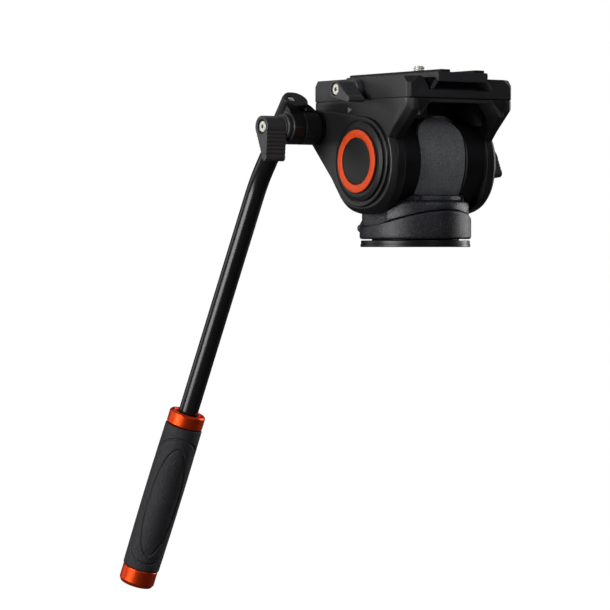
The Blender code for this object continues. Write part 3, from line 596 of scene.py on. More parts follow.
def ribbed_rubber(name, dark, light):
    t = Tree(name)
    fine = t.noise(4.0, 3, 0.6)
    t.feed("Base Color", t.mix(t.remap(t.noise(0.3, 3), 0.35, 0.65, 0, 1), dark, light))
    t.feed("Roughness", t.remap(fine, 0.3, 0.7, 0.6, 0.8))
    t.set(Specular_IOR_Level=0.35)
    t.feed("Normal", t.bump(fine, 0.03, 1.0))
    return t.mat


LOOK = {
    # The casting's edge of 0.9 and the lift after it, and the default edge of 0.25 on the clamp and plate, paint their
    # outer edges lighter: a painted edge highlight.
    "casting": powder_coat("casting_black", (0.0052, 0.0052, 0.0057), (0.0085, 0.0085, 0.0092), rough=(0.3, 0.41),
                           depth=0.008, edge=0.9, specular=0.45, edge_highlight_lift=0.04),
    "clamp": powder_coat("clamp_black", (0.0122, 0.0122, 0.0128), (0.0158, 0.0158, 0.0165), rough=(0.4, 0.52), grain=2.6,
                         depth=0.014, specular=0.72),
    "plate": powder_coat("plate_black", (0.034, 0.034, 0.0355), (0.044, 0.044, 0.0455), rough=(0.42, 0.55), grain=2.6,
                         depth=0.014, specular=0.4),
    "coarse": wrinkle_coat("housing_coarse_black", (0.013, 0.013, 0.0152), (0.025, 0.025, 0.029), rough=(0.2, 0.32),
                           scale=1.25, depth=0.19, sparkle=0.55),
    "coarse_low": wrinkle_coat("shell_coarse_black", (0.0105, 0.0105, 0.0124), (0.019, 0.019, 0.0224), rough=(0.3, 0.43),
                               scale=1.25, depth=0.19, sparkle=0.55),
    "plastic": moulded("knob_black_plastic", (0.051, 0.051, 0.052), (0.065, 0.065, 0.066), rough=(0.4, 0.52),
                       depth=0.012, specular=0.45),
    "cap": moulded("cap_black_plastic", (0.0078, 0.0078, 0.0084), (0.0108, 0.0108, 0.0116), rough=(0.36, 0.48), scale=3.2,
                   depth=0.006, specular=0.36),
    "panel": moulded("grey_panel", (0.152, 0.152, 0.15), (0.198, 0.198, 0.195), rough=(0.5, 0.65), scale=1.1, depth=0.18,
                     soften=0.3, specular=0.35, speckle=0.75),
    "ring": anodised("orange_ring", (0.78, 0.066, 0.004), (0.86, 0.08, 0.005), rough=(0.42, 0.52), metallic=0.15,
                     axis=(1, 0, 0), lines=5.0, depth=0.002),
    "grip_ring": anodised("orange_anodised", (0.92, 0.066, 0.01), (0.98, 0.084, 0.014), rough=(0.34, 0.46),
                          metallic=0.9, axis=tuple(LOWER_DIR), lines=4.0, depth=0.003),
    "grip": leathered_rubber("grip_rubber", (0.024, 0.024, 0.0265), (0.033, 0.033, 0.036)),
    "strip": ribbed_rubber("strip_rubber", (0.008, 0.008, 0.008), (0.014, 0.014, 0.014)),
    "tube": powder_coat("tube_black", (0.006, 0.006, 0.0065), (0.009, 0.009, 0.0095), rough=(0.18, 0.26), grain=2.4,
                        depth=0.003, soften=0.0, edge=0.0, specular=0.5),
    "steel": metal("plain_steel", (0.52, 0.52, 0.53)),
    "dark_steel": metal("blackened_steel", (0.02, 0.02, 0.023), rough=(0.28, 0.42), metallic=0.6),
    "bright": metal("nickel_plate", (0.9, 0.87, 0.78), rough=(0.24, 0.36), metallic=0.35),
    "brass": metal("brass", (0.62, 0.45, 0.19), rough=(0.25, 0.4)),
    "nylon": moulded("nylon", (0.62, 0.6, 0.55), (0.72, 0.7, 0.66), rough=(0.4, 0.55), scale=1.4, depth=0.01),
    "mark": moulded("mark_grey", (0.12, 0.12, 0.122), (0.16, 0.16, 0.16), rough=(0.5, 0.6), scale=4.0, depth=0.003,
                    soften=0.0),
}

# ---------------------------------------------------------------- fixed base
BASE_SCREW_AT = [(14.2 * math.cos(math.radians(a)), 14.2 * math.sin(math.radians(a))) for a in (90, 210, 330)]
flange = solid(
    "flange_visual",
    lathe(fillet([(9.3, 0.0), (BASE_R, 0.0), (BASE_R, 1.5), (29.75, 1.75), (29.75, BASE_T), (NECK_R, BASE_T),
                  (NECK_R, 4.26), (16.8, 4.26), (16.8, 4.7), (9.3, 4.7)], [0.4, 0.35, 0.1, 0.1, 0.45, 0.3, 0.04, 0.05, 0.1, 0.2], 4), segs=160),
    *[("-", lathe([(0, -1), (3.7, -1), (3.2, 0.2), (1.8, 1.8), (1.8, 6), (0, 6)], centre=(x, y, 0), segs=32))
      for x, y in BASE_SCREW_AT],
)
finish_piece(flange, LOOK["casting"], "base", ["base_flange"])


def hex_socket(radius, lo, hi, axis, centre):
    return prism(circle(radius, 6, math.pi / 6), axis, lo, hi, centre)


for i, (x, y) in enumerate(BASE_SCREW_AT, 1):
    screw = solid(
        "base_screw_visual_%d" % i,
        lathe(fillet([(0, 0.4), (2.7, 0.4), (2.75, 0.6), (1.45, 1.9), (1.45, 6.7), (0, 6.7)],
                     [0, 0.15, 0.1, 0.1, 0.2, 0], 2), centre=(x, y, 0), segs=32),
        ("-", hex_socket(1.25, -1, 1.5, "Z", (x, y, 0))))
    finish_piece(screw, LOOK["steel"], "base", ["base_screw_%d" % i])

# Threaded insert, its thread cut as fine turned grooves.
PITCH = 1.5875
thread = [(6.6, 0.8), (6.6, 12.6), (4.9, 12.6)]
z = 12.3
while z > 1.4:
    thread += [(4.78, z), (5.3, z - PITCH / 2)]
    z -= PITCH
thread += [(4.78, 1.3), (5.2, 0.8)]
insert = solid("thread_insert_visual", lathe(thread[::-1], segs=64))
finish_piece(insert, LOOK["brass"], "base", ["thread_insert"])


# ---------------------------------------------------------------- pan housing
def seam_height(angle):
    phi = abs((math.degrees(angle) + 90 + 180) % 360 - 180)
    if phi < SEAM_LOW:
        return SEAM_MID + SEAM_AMP * math.cos(math.pi * phi / SEAM_LOW)
    return SEAM_MID - SEAM_AMP * math.cos(math.pi * (phi - SEAM_LOW) / (180 - SEAM_LOW))


def housing_ring(radius, height, segs=160):
    points = []
    for i in range(segs):
        a = 2 * math.pi * i / segs
        h = seam_height(a) + height[1] if isinstance(height, tuple) else height
        points.append((radius * math.cos(a), radius * math.sin(a), h))
    return points


def housing(stack):
    return [housing_ring(r, h) for r, h in stack]


def triangulated(rings):
    """The wavy rings' quads aren't flat, so they are split before anything cuts them."""
    bm = loft(rings)
    bmesh.ops.triangulate(bm, faces=bm.faces[:])
    return bm


S = "seam"
lower = solid(
    "lower_shell_visual",
    loft(housing([(17.4, SHELL_Z0), (28.9, SHELL_Z0), (29.7, SHELL_Z0 + 0.14), (30.2, SHELL_Z0 + 0.5),
                  (SHELL_R, SHELL_Z0 + 1.2), (SHELL_R, SHELL_Z0 + 3.5), (SHELL_R, (S, -1.3)), (30.4, (S, -0.75)),
                  (30.15, (S, -0.35)), (29.7, (S, -0.1)), (28.9, (S, 0.0)), (CAVITY_R, (S, 0.0)),
                  (CAVITY_R, FLOOR_Z), (17.4, FLOOR_Z)]), closed=True),
    ("-", rod(2.8, 20, 34, "Y", (0, 0, PAN_KNOB_Z), segs=32)),
)
finish_piece(lower, LOOK["coarse_low"], "pan_housing", ["pan_lower_shell"])


def front_depth(z):
    return 24.7 - (z - 48.0) ** 2 / 64.0


ARCH_Z, ARCH_TOP = 58.0, 70.2


def arch_outline(grow=0.0, bottom=28.3, steps=48):
    points = [(-TOWER_X - grow, bottom), (TOWER_X + grow, bottom)]
    for i in range(steps + 1):
        a = math.pi * i / steps
        points.append(((TOWER_X + grow) * math.cos(a), ARCH_Z + (ARCH_TOP - ARCH_Z + grow) * math.sin(a)))
    return points


steps = []
for side in (-1, 1):
    steps.append(("-", rod(DISC_R + 0.5, *sorted((side * (TOWER_X + 0.05), side * 40)), axis="X", centre=(0, 0, TILT_Z), segs=160)))
    steps.append(("-", box(*sorted((side * FLAT_X, side * 40)), -30, 30, 5, 40)))
steps.append(("+", prism(arch_outline(0.0, 24.0), "Y", -23, 23)))
for side in (-1, 1):
    zs = [NECK_TOP_Z + 0.001 + (75 - NECK_TOP_Z) * i / 40 for i in range(41)]
    face = [(side * (front_depth(z) - 2.3), z) for z in zs] + [(side * 32, 75), (side * 32, zs[0])]
    steps.append(("-", prism(face, "X", -18, 18)))
steps.append(("-", rod(TOWER_BORE, -20, 20, "X", (0, 0, TILT_Z), segs=64)))
upper = solid(
    "upper_casting_visual",
    triangulated([[(0, 0, NECK_TOP_Z)]] + housing(
        [(25.7, NECK_TOP_Z), (26.1, NECK_TOP_Z - 0.12), (26.35, NECK_TOP_Z - 0.5), (26.45, DECK_Z + 0.9),
         (26.6, DECK_Z + 0.35), (27.0, DECK_Z + 0.1), (27.6, DECK_Z - 0.05), (28.2, 24.85), (28.7, 24.4), (29.05, 23.7),
         (CAST_R, 22.9), (CAST_R, 21.5), (CAST_R, (S, 0.95)), (29.1, (S, 0.6)), (28.8, (S, 0.38)), (28.4, (S, 0.3)),
         (CAVITY_R, (S, 0.3)), (CAVITY_R, CAVITY_Z)]) + [[(0, 0, CAVITY_Z)]]),
    *steps)
finish_piece(upper, LOOK["coarse"], "pan_housing", ["pan_upper_casting"])

for name, side in (("front_panel", -1), ("rear_panel", 1)):
    zs = [28.3 + (75 - 28.3) * i / 56 for i in range(57)]
    band = [(side * front_depth(z), z) for z in zs] + [(side * (front_depth(z) - 2.0), z) for z in reversed(zs)]
    panel = solid(name + "_visual", prism(ccw(band), "X", -20, 20),
                  ("&", prism(arch_outline(), "Y", min(side * 14, side * 27), max(side * 14, side * 27))),
                  bevel=0.45, bevel_steps=3, bevel_angle=50)
    finish_piece(panel, LOOK["panel"], "pan_housing", [name])


# Pan lock at the back.
def groove_run(a, b, count, depth, margin=0.9, per=8):
    """Points from a to b with count half-round grooves cut in towards the left-hand side."""
    a, b = Vector(a), Vector(b)
    along = b - a
    length = along.length
    along.normalize()
    inward = Vector((-along.y, along.x))
    points = [tuple(a)]
    n = count * per
    for i in range(n + 1):
        t = i / n
        s = margin + (length - 2 * margin) * t
        dip = depth * (0.5 - 0.5 * math.cos(2 * math.pi * count * t)) ** 0.8
        p = a + along * s + inward * dip
        points.append((p.x, p.y))
    points.append(tuple(b))
    return points


def wing_outline(hub, tip, tip_at, grooves=6, depth=0.42, segs=48):
    """Counter-clockwise outline of a wing knob, its flanks grooved."""
    to = Vector(tip_at)
    d = to.length
    base = math.atan2(to.y, to.x)
    lean = math.acos((hub - tip) / d)
    out = []
    # Round the tip from its lower tangent to its upper one, then back along the upper flank to the hub.
    out += [(to.x + tip * math.cos(base - lean + 2 * lean * i / 12), to.y + tip * math.sin(base - lean + 2 * lean * i / 12))
            for i in range(13)]
    hub_top = (hub * math.cos(base + lean), hub * math.sin(base + lean))
    out += groove_run(out[-1], hub_top, grooves, depth)[1:-1]
    turn = 2 * math.pi - 2 * lean
    out += [(hub * math.cos(base + lean + turn * i / segs), hub * math.sin(base + lean + turn * i / segs))
            for i in range(segs + 1)]
    out += groove_run(out[-1], out[0], grooves, depth)[1:-1]
    return out


def wing_knob(name, body, axis_yz, x_wall, x_near, x_far, hub, tip, tip_at, collar, replaced, grooves=6,
              cap=False):
    y, z = axis_yz
    s = -1 if x_far < x_near else 1

    def shape(distance):
        keep = 1.0 - 0.6 * distance / 0.5
        return shifted(wing_outline(hub - distance, tip - distance, tip_at, grooves, 0.42 * keep), y, z)

    lo, hi = sorted((x_near, x_far))
    wing = rprism(shape(0.0), "X", lo, hi, 0.5, 0.5, 4, shape=shape)
    collar_profile = [(0, x_near + s * 0.6), (collar - 0.9, x_near + s * 0.6), (collar - 0.9, x_near - s * 0.5),
                      (collar, x_near - s * 0.8), (collar, x_wall), (0, x_wall)]
    well = min(hub - 1.5, 3.9)
    steps = [("+", turned(collar_profile, "X", (0, y, z), 64, 0.22, 3)),
             ("-", lathe([(0, x_far - s * 2.4), (well - 0.05, x_far - s * 2.4), (well, x_far - s * 0.35),
                          (well + 0.4, x_far + s * 0.05), (well + 0.4, x_far + s * 2), (0, x_far + s * 2)],
                         "X", (0, y, z), 64))]
    knob = solid(name + "_visual", wing, *steps)
    return finish_piece(knob, LOOK["plastic"], body, [replaced], sharp=38)


def socket_head(name, body, axis_yz, x_far, head, s, x_tip, shank, replaced, sink=0.75, socket=1.25):
    y, z = axis_yz
    top = x_far - s * sink
    profile = [(0, x_tip), (shank, x_tip), (shank, x_far - s * 2.2), (head, x_far - s * 2.2), (head, top), (0, top)]
    screw = solid(name + "_visual", turned(profile, "X", (0, y, z), 48, 0.3, 3),
                  ("-", hex_socket(socket, *sorted((top - s * 1.8, top + s * 2)), "X", (0, y, z))))
    return finish_piece(screw, LOOK["bright"], body, [replaced])


wing_knob("clamp_knob", "plate_lock", (CLAMP_KNOB_Y, CLAMP_KNOB_Z), -36.0, -40.6, -51.2, 4.9, 1.7, (-11.6, -5.6),
          6.0, "clamp_knob")
socket_head("clamp_knob_screw", "plate_lock", (CLAMP_KNOB_Y, CLAMP_KNOB_Z), -51.2, 2.95, -1, -25.0, 2.3,
            "clamp_knob_screw")
wing_knob("tilt_lock_knob", "tilt_lock", (0, TILT_Z), 39.4, 40.8, 51.2, 8.8, 2.2, (-9.8, -5.6), 7.0,
          "tilt_lock_knob", grooves=4)
socket_head("tilt_lock_cap", "tilt_lock", (0, TILT_Z), 51.2, 3.2, 1, 48.4, 2.4, "tilt_lock_cap")
wing_knob("handle_knob", "bar_lock", (ROSETTE_Y, ROSETTE_Z), -58.7, -61.0, -74.0, 6.0, 1.9, (-2.6, -16.9), 7.4,
          "handle_knob", grooves=7)
socket_head("handle_bolt", "bar_lock", (ROSETTE_Y, ROSETTE_Z), -74.0, 3.0, -1, -41.5, 2.4, "handle_bolt")

# The pan lock's double wing, with its grooves on both flanks.
wing = []
for base in (0.0, math.pi):
    c, s_ = math.cos(base), math.sin(base)
    end = arc(6.9, 0, 2.2, -74, 74, 14)
    wing += [(c * x - s_ * y, s_ * x + c * y) for x, y in end]
    wing += [(c * x - s_ * y, s_ * x + c * y) for x, y in arc(0, 0, 4.2, 78, 102, 8)]
wing = ccw(wing)
pan_knob = solid(
    "pan_lock_knob_visual", rprism(wing, "Y", 33.0, 42.0, 0.4, 0.6, 3, centre=(0, 0, PAN_KNOB_Z)),
    ("+", turned([(0, 34), (4.9, 34), (4.9, 30.9), (0, 30.9)][::-1], "Y", (0, 0, PAN_KNOB_Z), 48, 0.3, 3)),
)
finish_piece(pan_knob, LOOK["plastic"], "pan_lock", ["pan_lock_knob"])


# -------------------------------------------------------------------- cradle
def cheek_radius(angle):
    """Below the axis the cheek is a little fuller than a circle, in front and behind."""
    return (CHEEK_R + 1.5 * math.exp(-((angle - 224) / 25) ** 2)
            + 2.7 * math.exp(-((angle - 322) / 32) ** 2))


def cheek_outline(top):
    below = [arc(0, TILT_Z, cheek_radius(a), a, a, 1)[0] for a in range(156, 319, 2)]
    a, b, c = (36.2, 41.9), (45.96, 54.1), (49.66, 60.5)
    bow = [tuple(a[k] * (1 - t) ** 2 + b[k] * 2 * t * (1 - t) + c[k] * t * t for k in (0, 1))
           for t in (i / 10 for i in range(10))]
    rear = arc(ROSETTE_Y, ROSETTE_Z, 10.0, -30, 52, 20)
    return below + bow + rear + [(47.0, 73.8), (47.0, top), (-41.6, top), (-41.6, 73.4), (-29.6, 62.0)]


def cheek_stack(side):
    """Outer plate: a straight rim, then a wide chamfer with soft corners up to the side face."""
    outer = cheek_outline(SEAM_Z - 0.3)
    grown = cheek_outline(SEAM_Z - 0.3 + CHAMFER)
    stack = []
    for back, deep in ((0.45, 0.0), (0.13, 0.13), (0.0, 0.45)):
        stack.append((side_inset(outer, back), side * (DISC_X1 + deep)))
    # The chamfer's two corners, rounded; its top edge stays at the clamp's seam.
    for off, x in ((0.0, CHEEK_X1 - CHAMFER - 0.35), (0.12, CHEEK_X1 - CHAMFER + 0.1), (0.45, CHEEK_X1 - CHAMFER + 0.5),
                   (2.4, CHEEK_X1 - 0.45), (2.85, CHEEK_X1 - 0.1), (3.35, CHEEK_X1)):
        blend = cheek_outline(SEAM_Z - 0.3 + off)
        stack.append((side_inset(blend, off), side * x))
    return stack


for name, side in (("right_cheek", -1), ("left_cheek", 1)):
    steps = []
    for y0, y1 in ((-41.6, -27.5), (29.0, 47.0)):
        gusset = side_x([(20.0, 79.17), (27.6, 70.2), (28.6, 70.2), (28.6, 79.17)], side)
        steps.append(("+", rprism(gusset, "Y", y0, y1, 0.3, 0.3, 2)))
    disc = [(0, DISC_X0), (DISC_R, DISC_X0), (DISC_R, DISC_X1 + 1), (0, DISC_X1 + 1)]
    steps.append(("+", turned([(r, side * x) for r, x in disc], "X", (0, 0, TILT_Z), 144, 0.55, 4)))
    steps.append(("+", rod(9.8, *sorted((side * 30.0, side * 36.2)), axis="X", centre=(0, ROSETTE_Y, ROSETTE_Z), segs=60)))
    field = hull(shifted(circle(24.3, 144), 0, TILT_Z) + shifted(circle(24.0, 144), 1.6, TILT_Z - 0.9)
                 + shifted(circle(9.9, 72), ROSETTE_Y, ROSETTE_Z))
    lo, hi = sorted((side * 34.0, side * 37.2))
    steps.append(("+", rprism(field, "X", lo, hi, 0.9 if side < 0 else 0.0, 0.9 if side > 0 else 0.0, 4)))
    steps.append(("-", rod(5.3, *sorted((side * 14, side * 33.6)), axis="X", centre=(0, 0, TILT_Z), segs=40)))
    steps.append(("-", rod(7.3, *sorted((side * 35.8, side * 39)), axis="X", centre=(0, ROSETTE_Y, ROSETTE_Z), segs=48)))
    # Shallow turned recess round the side cap.
    steps.append(("-", ring(21.75, 22.5, *sorted((side * 36.7, side * 38)), axis="X", centre=(0, 0, TILT_Z), segs=144)))
    if side > 0:
        steps.append(("-", rod(4.0, 32.7, 40, "X", (0, 0, TILT_Z), segs=32)))
    cheek = solid(name + "_visual", sections(cheek_stack(side), "X"), *steps)
    finish_piece(cheek, LOOK["casting"], "cradle", [name])

# Platform between the cheeks.
steps = []
for side in (-1, 1):
    rib = side_x([(15.8, 78.2), (26.7, 78.2), (26.7, 66.0), (25.0, 66.0), (20.0, 72.6)], side)
    steps.append(("+", prism(rib, "Y", -25.0, 27.0)))
    for y0, y1 in ((-42.0, -27.2), (28.7, 48.0)):
        steps.append(("-", prism(side_x([(19.6, 79.6), (27.9, 69.8), (30, 69.8), (30, 79.6)], side), "Y", y0, y1)))
steps.append(("-", rod(27.0, -30, 30, "X", (0, 0, TILT_Z), segs=160)))
steps.append(("+", rprism(ccw([(-4.9, 77.9), (-3.4, 71.6), (3.4, 71.6), (4.6, 77.9)]), "Y", -18.0, -15.9, 0.4, 0.3, 2)))
PLATFORM_SCREW_AT = [(-12, -34), (12, -34), (-12, 38), (12, 38)]
for x, y in PLATFORM_SCREW_AT:
    steps.append(("-", lathe([(0, 76), (3.1, 76), (3.1, 77.5), (1.8, 78.9), (1.8, 85), (0, 85)], centre=(x, y, 0),
                             segs=32)))
platform = solid("cradle_platform_visual",
                 rprism(ccw([(-26.7, 79.2), (-26.7, 77.4), (26.7, 77.4), (26.7, 79.2)]), "Y", -40.6, 46.0, 0.25, 0.25, 2),
                 *steps)
finish_piece(platform, LOOK["casting"], "cradle", ["cradle_platform"])
for i, (x, y) in enumerate(PLATFORM_SCREW_AT, 1):
    screw = solid("platform_screw_visual_%d" % i,
                  turned([(0, 77.62), (2.8, 77.62), (1.4, 79.0), (1.4, 82.6), (0, 82.6)], "Z", (x, y, 0), 32, 0.12, 2),
                  ("-", hex_socket(1.1, 77.0, 78.5, "Z", (x, y, 0))))
    finish_piece(screw, LOOK["dark_steel"], "cradle", ["platform_screw_%d" % i])

# Side caps and the orange ring. All are turned, and slightly crowned.
side_cap = solid("right_side_cap_visual", lathe(
    [(0, -37.5), (21.2, -37.5), (21.5, -37.62), (21.6, -37.9), (21.45, -38.2), (20.9, -38.45), (20.2, -38.62),
     (19.8, -38.8), (19.4, -38.95), (18.9, -39.0), (17.4, -38.98), (17.2, -38.8), (12.6, -38.8), (0, -38.8)],
    "X", (0, 0, TILT_Z), 160))
finish_piece(side_cap, LOOK["cap"], "cradle", ["right_side_cap"])
crown = []
for i in range(13):
    t = i / 12
    crown.append((17.0 - 4.2 * t, -39.9 - 0.6 * math.sin(math.pi * (0.1 + 0.8 * t)) ** 0.6 + 0.08))
orange = solid("accent_ring_visual", lathe([(12.8, -39.3), (17.0, -39.3)] + crown, "X", (0, 0, TILT_Z), 160))
finish_piece(orange, LOOK["ring"], "cradle", ["accent_ring"])
dome = [(12.5 * math.cos(math.radians(a)), -39.72 - 0.38 * math.sin(math.radians(a))) for a in (0, 4, 9, 16, 26, 40, 58, 78)]
centre = solid("centre_cap_visual", lathe([(0, -39.3), (12.5, -39.3)] + dome + [(0, -40.1)], "X", (0, 0, TILT_Z), 160))
finish_piece(centre, LOOK["cap"], "cradle", ["centre_cap"])
left_cap = solid("left_side_cap_visual", lathe(fillet(
    [(4.2, 37.5), (21.6, 37.5), (21.6, 38.1), (20.2, 38.6), (19.4, 39.0), (16.5, 39.0), (16.2, 38.7), (9.2, 38.7),
     (8.9, 39.0), (4.2, 39.0)], [0.1, 0.3, 0.3, 0.3, 0.4, 0.15, 0.15, 0.15, 0.15, 0.2], 3), "X", (0, 0, TILT_Z), 144))
finish_piece(left_cap, LOOK["cap"], "cradle", ["left_side_cap"])


def toothed_disc(face, back, teeth, depth, inner, outer, side, bore, boss=None, phase=0.0):
    n = teeth * 4
    start = [(bore, boss[1], 0), (boss[0], boss[1], 0), (boss[0], back, 0)] if boss else [(bore, back, 0)]
    rings = []
    for radius, x, tall in start + [(outer - 0.25, back, 0), (outer, back + side * 0.25, 0),
                                    (outer, face - side * 1.5, 0), (outer, face, depth),
                                    (outer - 0.3, face, depth), (inner, face, depth * 0.55), (inner * 0.96, face, None),
                                    (bore + 0.3, face, None), (bore, face, None)]:
        points = []
        for i in range(n):
            a = 2 * math.pi * (i + phase) / n
            wave = abs(((i + 2) % 4) - 2) / 2.0
            dx = (tall * wave) if tall is not None else depth * 1.3
            if radius == bore and tall is None:
                dx += 0.3
            points.append((x - side * dx if tall != 0 else x,
                           ROSETTE_Y + radius * math.cos(a), ROSETTE_Z + radius * math.sin(a)))
        rings.append(points)
    return loft(rings, closed=True)


for name, side in (("right_rosette", -1), ("left_rosette", 1)):
    rosette = solid(name + "_visual", toothed_disc(side * 39.5, side * 37.4, 36, 0.85, 6.0, ROSETTE_R, side, 3.3,
                                                   (6.8, side * 36.1)))
    finish_piece(rosette, LOOK["dark_steel"], "cradle", [name], sharp=20)

# Light index triangle on the right cheek, under the clamp.
mark = solid("index_mark", rprism(ccw([(13.6, 76.0), (13.6, 73.0), (9.9, 74.5)]), "X", -35.68, -35.45, 0.06, 0.0, 2))
finish_piece(mark, LOOK["mark"], "cradle")

# Plate clamp.
clamp_outline = [(-35.6, 79.8), (35.6, 79.8), (35.6, CLAMP_TOP_LEFT), (18.2, CLAMP_TOP_LEFT), (18.2, 90.0), (21.2, 85.0),
                 (21.2, CHANNEL_Z), (-22.0, CHANNEL_Z), (-22.0, 85.5), (-24.9, 89.8), (-26.9, CLAMP_TOP),
                 (-35.6, CLAMP_TOP)]
clamp_bm = prism(clamp_outline, "Y", CLAMP_Y0, CLAMP_Y1)
for sx in (-1, 1):
    for y, sy in ((CLAMP_Y0, -1), (CLAMP_Y1, 1)):
        trim(clamp_bm, (sx * (CHEEK_X1 - 2.0), y, 85), (sx, sy, 0))
        top = CLAMP_TOP if sx < 0 else CLAMP_TOP_LEFT
        a = Vector((sx * 28.9, y, top))
        b = Vector((sx * CHEEK_X1, y - sy * 4.4, top))
        c = Vector((sx * CHEEK_X1, y, top - 5.5))
        normal = (b - a).cross(c - a)
        if normal.z < 0:
            normal = -normal
        trim(clamp_bm, a, normal)
clamp = solid("clamp_body_visual", clamp_bm, bevel=0.4, bevel_steps=3, bevel_angle=20)
clamp_final = solid(
    "clamp_body_looks", (lambda bm: (bm.from_mesh(clamp.data), bm)[1])(bmesh.new()),
    ("+", box(-34.5, 34.5, -39.6, 45.0, 79.12, 79.95)),
    ("-", box(-31.4, -19.0, -4.5, 13.5, 81.2, 95)),
    ("-", rod(3.0, -40, -30, "X", (0, CLAMP_KNOB_Y, CLAMP_KNOB_Z), segs=32)),
    *[("-", rod(2.0, 70, 83.0, centre=(x, y, 0), segs=20)) for x, y in PLATFORM_SCREW_AT])
bpy.data.objects.remove(clamp, do_unlink=True)
finish_piece(clamp_final, LOOK["clamp"], "cradle", ["clamp_body"])

jaw = solid("clamp_jaw_visual",
            rprism(ccw([(-20.0, 86.4), (-17.7, 89.7), (-17.7, 90.6), (-23.4, 90.6), (-23.4, 89.6), (-21.1, 86.4)]),
                   "Y", -40.4, 42.0, 0.3, 0.3, 2),
            ("+", box(-28.8, -21.9, -3.2, 12.2, 81.6, 87.4)), ("+", box(-24.0, -20.6, -3.2, 12.2, 85.6, 88.6)),
            ("-", rod(2.6, -32, -23.5, "X", (0, CLAMP_KNOB_Y, CLAMP_KNOB_Z), segs=24)))
finish_piece(jaw, LOOK["dark_steel"], "jaw", ["clamp_jaw"])

# Quick-release plate: slab with bevelled rim, dovetail foot, slot and shallow relief between the strips.
slab = [(-PLATE_X, PLATE_Z0), (PLATE_X, PLATE_Z0), (PLATE_X, PLATE_Z1 - 0.6), (PLATE_X - 0.6, PLATE_Z1),
        (-PLATE_X + 0.6, PLATE_Z1), (-PLATE_X, PLATE_Z1 - 0.6)]
plate = solid("plate_visual", rprism(ccw(slab), "Y", PLATE_Y0, PLATE_Y1, 0.35, 0.35, 3),
              ("+", prism(ccw([(-20.4, 84.5), (20.4, 84.5), (20.4, 85.2), (17.7, 88.9), (16.5, 89.5), (-16.5, 89.5),
                               (-17.7, 88.9), (-20.4, 85.2)]), "Y", -41.9, 38.0)),
              ("-", prism(ccw([(-18.9, 84.0), (18.9, 84.0), (18.9, 84.9), (15.7, 88.7), (-15.7, 88.7), (-18.9, 84.9)]),
                          "Y", -42.0, -33.0)),
              ("-", prism(rounded(-8.0, 8.0, -24.0, 22.0, 2.5), "Z", 80, 89.4)),
              ("-", prism(rounded(-3.5, 3.5, -18.0, 16.0, 3.4, 12), "Z", 85, 99)),
              ("-", prism(rounded(-6.2, 6.2, -21.0, 19.0, 4.0, 12), "Z", 93.2, 99)))
finish_piece(plate, LOOK["plate"], "plate", ["quick_release_plate"])


def strip_profile(x0, x1):
    """Strip section with fine ribs along its length."""
    z0, z1 = PLATE_Z1 + 0.05, STRIP_Z
    points = [(x0, z0), (x1, z0), (x1, z1 - 0.5)]
    n = 5
    w = (x1 - x0 - 0.6) / n
    for i in range(n):
        right = x1 - 0.3 - w * i
        points += [(right, z1), (right - w * 0.62, z1), (right - w * 0.72, z1 - 0.35), (right - w * 0.9, z1 - 0.35)]
    points += [(x0, z1 - 0.5)]
    return points


for name, x0, x1 in (("rubber_strip_right", -14.9, -8.2), ("rubber_strip_left", 8.2, 14.9)):
    strip = solid(name + "_visual", prism(ccw(strip_profile(x0, x1)), "Y", PLATE_Y0 + 0.9, PLATE_Y1 - 0.9))
    finish_piece(strip, LOOK["strip"], "plate", [name], sharp=20)

retainer = solid("screw_retainer_visual", ring(3.45, 5.6, PLATE_Z1 + 0.05 - 0.35, PLATE_Z1 + 0.5, centre=(0, SCREW_Y, 0),
                                               segs=64, edge=0.12))
finish_piece(retainer, LOOK["steel"], "screw_carriage", ["screw_retainer"])

# Camera screw: slotted big head below, 20-per-inch thread above.
screw_profile = [(0, 85.4), (6.4, 85.4), (6.8, 85.8), (6.8, 88.8), (6.5, 89.1), (2.6, 89.1), (2.6, 93.0)]
z = 93.2
while z < 97.8:
    screw_profile += [(2.55, z), (3.1, z + 0.45), (3.1, z + 0.6), (2.55, z + 1.05)]
    z += 1.27
screw_profile += [(2.5, 98.45), (2.2, 98.7), (0, 98.7)]
camera_screw = solid("camera_screw_visual", lathe(screw_profile, "Z", (0, SCREW_Y, 0), 64),
                     ("-", box(-9, 9, SCREW_Y - 0.8, SCREW_Y + 0.8, 84, 86.6)))
finish_piece(camera_screw, LOOK["bright"], "screw", ["camera_screw"], sharp=25)

# ------------------------------------------------------------------- pan bar
lobe_end = Vector((TUBE_X, 40.46, 81.25))
up = tuple(UPPER_DIR)
hub = solid("handle_hub_visual", toothed_disc(-39.8, -50.1, 36, 0.85, 6.0, ROSETTE_R, 1, 3.3, phase=2.0),
            ("-", rod(TUBE_R + 0.4, -5, 61, up, tuple(lobe_end), segs=64)))
finish_piece(hub, LOOK["casting"], "pan_bar", ["handle_rosette_hub"], sharp=20)

across = Vector((0, UPPER_DIR.z, -UPPER_DIR.y))
lobe_start = lobe_end + UPPER_DIR * 25.2


def yz(p):
    return (p.y, p.z)


